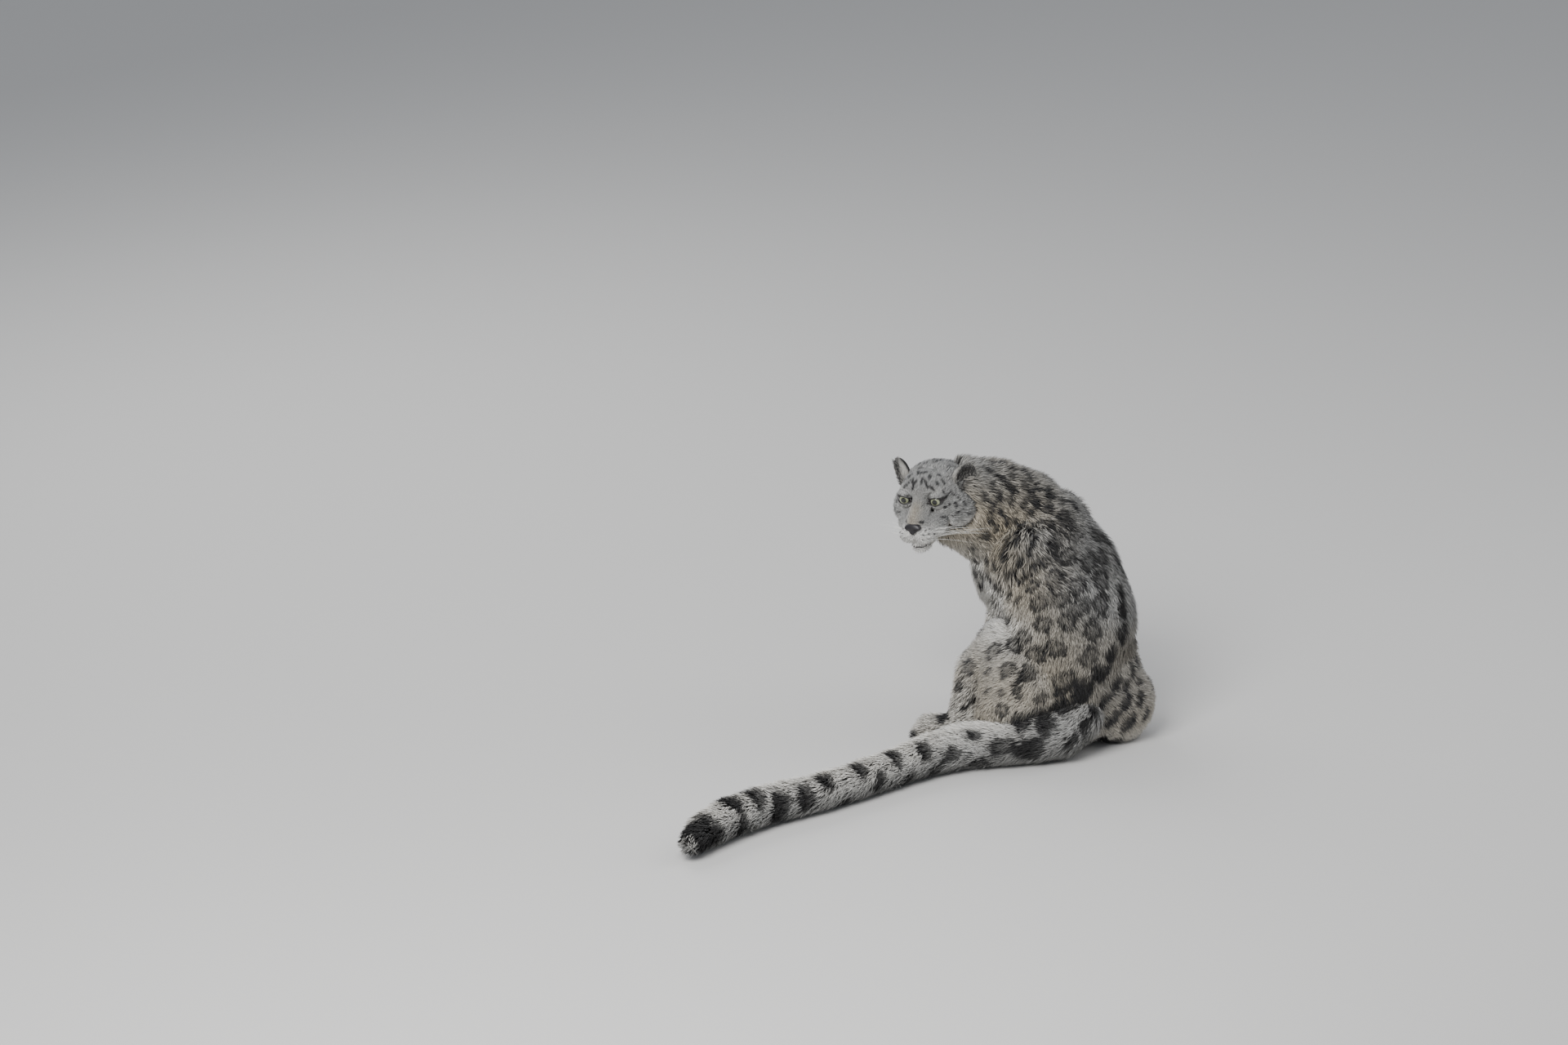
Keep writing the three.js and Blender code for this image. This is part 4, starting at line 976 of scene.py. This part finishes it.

# Ears: thin cups with fur on the back and some pale hair in the front. The back is black, the inside of the cup is
# painted dark as painted shade in the hollow, and the rim is pale
EAR = {"side": 66, "back": -70, "up": 4, "tall": 31, "wide": 27, "deep": 16, "wall": 5}
ears = []
for name, s in (("ear_left", -1), ("ear_right", 1)):
    place = (HEAD @ Matrix.Translation(Vector((EAR["side"] * s, EAR["back"], EAR["up"])) * MM)
             @ Matrix.Rotation(math.radians(8), 4, "X") @ Matrix.Rotation(math.radians(14 * s), 4, "Y")
             @ Matrix.Rotation(math.radians(-46 * s), 4, "Z"))

    def cup(wide, deep, tall, y, z):
        piece = ball(Vector(), (1000,) * 3, segments=40)
        q = points_of(piece)
        up = q[:, 2].copy()
        narrow = np.where(up > 0, 1 - 0.16 * up * up, 1 + 0.12 * up)
        q = np.stack([q[:, 0] * wide * narrow, q[:, 1] * deep + y, up * tall + z], axis=1) * MM
        m = np.array(place)
        put_points(piece, q @ m[:3, :3].T + m[:3, 3])
        return piece

    outer = cup(EAR["wide"] - 2, EAR["deep"] - 2, EAR["tall"] - 2, 0, 18)
    inner = cup(EAR["wide"] - 5, EAR["deep"], EAR["tall"] - 6, EAR["wall"] + 5, 19)
    cut = outer.modifiers.new("cut", "BOOLEAN")
    cut.operation = "DIFFERENCE"
    cut.object = inner
    only(outer)
    bpy.ops.object.modifier_apply(modifier="cut")
    bpy.data.objects.remove(inner)
    outer.name = outer.data.name = "look_" + name
    bpy.ops.object.shade_smooth()
    q = points_of(outer)
    m = np.array(place.inverted())
    local = (q @ m[:3, :3].T + m[:3, 3]) / MM
    rim = np.linalg.norm((local - np.array([0, 0, 18])) / np.array([26, 40, 33]), axis=1)
    pale = smoothstep(rim, 0.80, 0.98)[:, None] * 0.9
    # Dark but for the pale rim: black on the back, and painted shade inside the cup
    paint(outer, DARK * 1.4 * (1 - pale) + (WHITE * 0.5 + CREAM * 0.25) * pale)
    outer.data.materials.append(skin)
    ears.append((outer, local, place, s))

ear_coats = []
for outer, local, place, s in ears:
    ear_map = unwrap(outer)
    count = 3600
    roots, normals = scatter(outer, count, lambda q: np.ones(len(q)))
    m = np.array(place.inverted())
    q = (roots @ m[:3, :3].T + m[:3, 3]) / MM
    r3 = np.array(place.to_3x3())
    inside = (normals @ r3)[:, 1] > 0.1
    rim = np.linalg.norm((q - np.array([0, 0, 18])) / np.array([26, 40, 33]), axis=1)
    pale = smoothstep(rim, 0.78, 0.95) * 0.95
    # Front hairs mostly dark, as painted shade in the hollow; a quarter are half pale
    pale = np.maximum(pale, inside * rng.choice([0.04, 0.5], count, p=[0.75, 0.25]))[:, None]
    colour = DARK * 1.4 * (1 - pale) + (WHITE * 0.5 + CREAM * 0.25) * pale
    way = np.tile(r3 @ np.array([0, 0.15, 1.0]), (count, 1)) + rng.normal(0, 0.15, (count, 3))
    way = unit(way - normals * np.sum(way * normals, axis=1)[:, None])
    long = np.where(inside, 9.5, 6.5) * rng.uniform(0.7, 1.2, count)
    # Roots at 0.8 of the hair's colour: painted shade at the base of the tufts
    ear_coats.append(tufts(
        "coat_" + outer.name, roots, normals, way, long * MM, np.full(count, 1.3 * MM),
        np.where(inside, 3, 1.8) * MM, colour * 0.8, colour, flat_place(ear_map, roots), curl=0.1,
    ))
    ear_coats[-1].data.materials.append(fur)

# What each piece stands for
TORSO_NODES = ["torso", "neck", "foreleg_left", "foreleg_right", "forepaw_left", "forepaw_right", "hind_leg_left",
               "hind_leg_right", "hind_foot_left", "hind_foot_right", "tail_1", "tail_2", "tail_3", "tail_4"]
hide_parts(*TORSO_NODES)
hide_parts("head")
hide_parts("eye_left")
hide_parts("eye_right")
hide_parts("nose")
for (outer, *_), node in zip(ears, ("ear_left", "ear_right")):
    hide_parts(node)
for piece in [body, head, rims, lips, nose, whiskers, *eyes, *coat, *ear_coats, *[e[0] for e in ears]]:
    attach(piece, "root")

# Floor and light
bpy.ops.mesh.primitive_plane_add(size=60)
floor = bpy.context.object
floor.name = "floor"
ground_finish, *_ = principled("floor", 0.9, (0.62, 0.61, 0.59))
floor.data.materials.append(ground_finish)


def panel(place, aim, size, power):
    bpy.ops.object.light_add(type="AREA", location=place)
    light = bpy.context.object
    light.data.size = size
    light.data.energy = power
    light.rotation_mode = "QUATERNION"
    light.rotation_quaternion = (Vector(aim) - Vector(place)).to_track_quat("-Z", "Y")


panel((-2.6, -2.0, 3.0), (-0.1, 0.05, 0.3), 2.0, 190)
panel((2.4, -0.8, 2.6), (0, 0.05, 0.3), 2.6, 34)
panel((-0.5, 2.8, 2.6), (0, 0.05, 0.3), 2.6, 60)
world = bpy.data.worlds.new("soft")
bpy.context.scene.world = world
world.use_nodes = True
world.node_tree.nodes["Background"].inputs["Color"].default_value = (0.86, 0.91, 1.0, 1)
world.node_tree.nodes["Background"].inputs["Strength"].default_value = 0.42
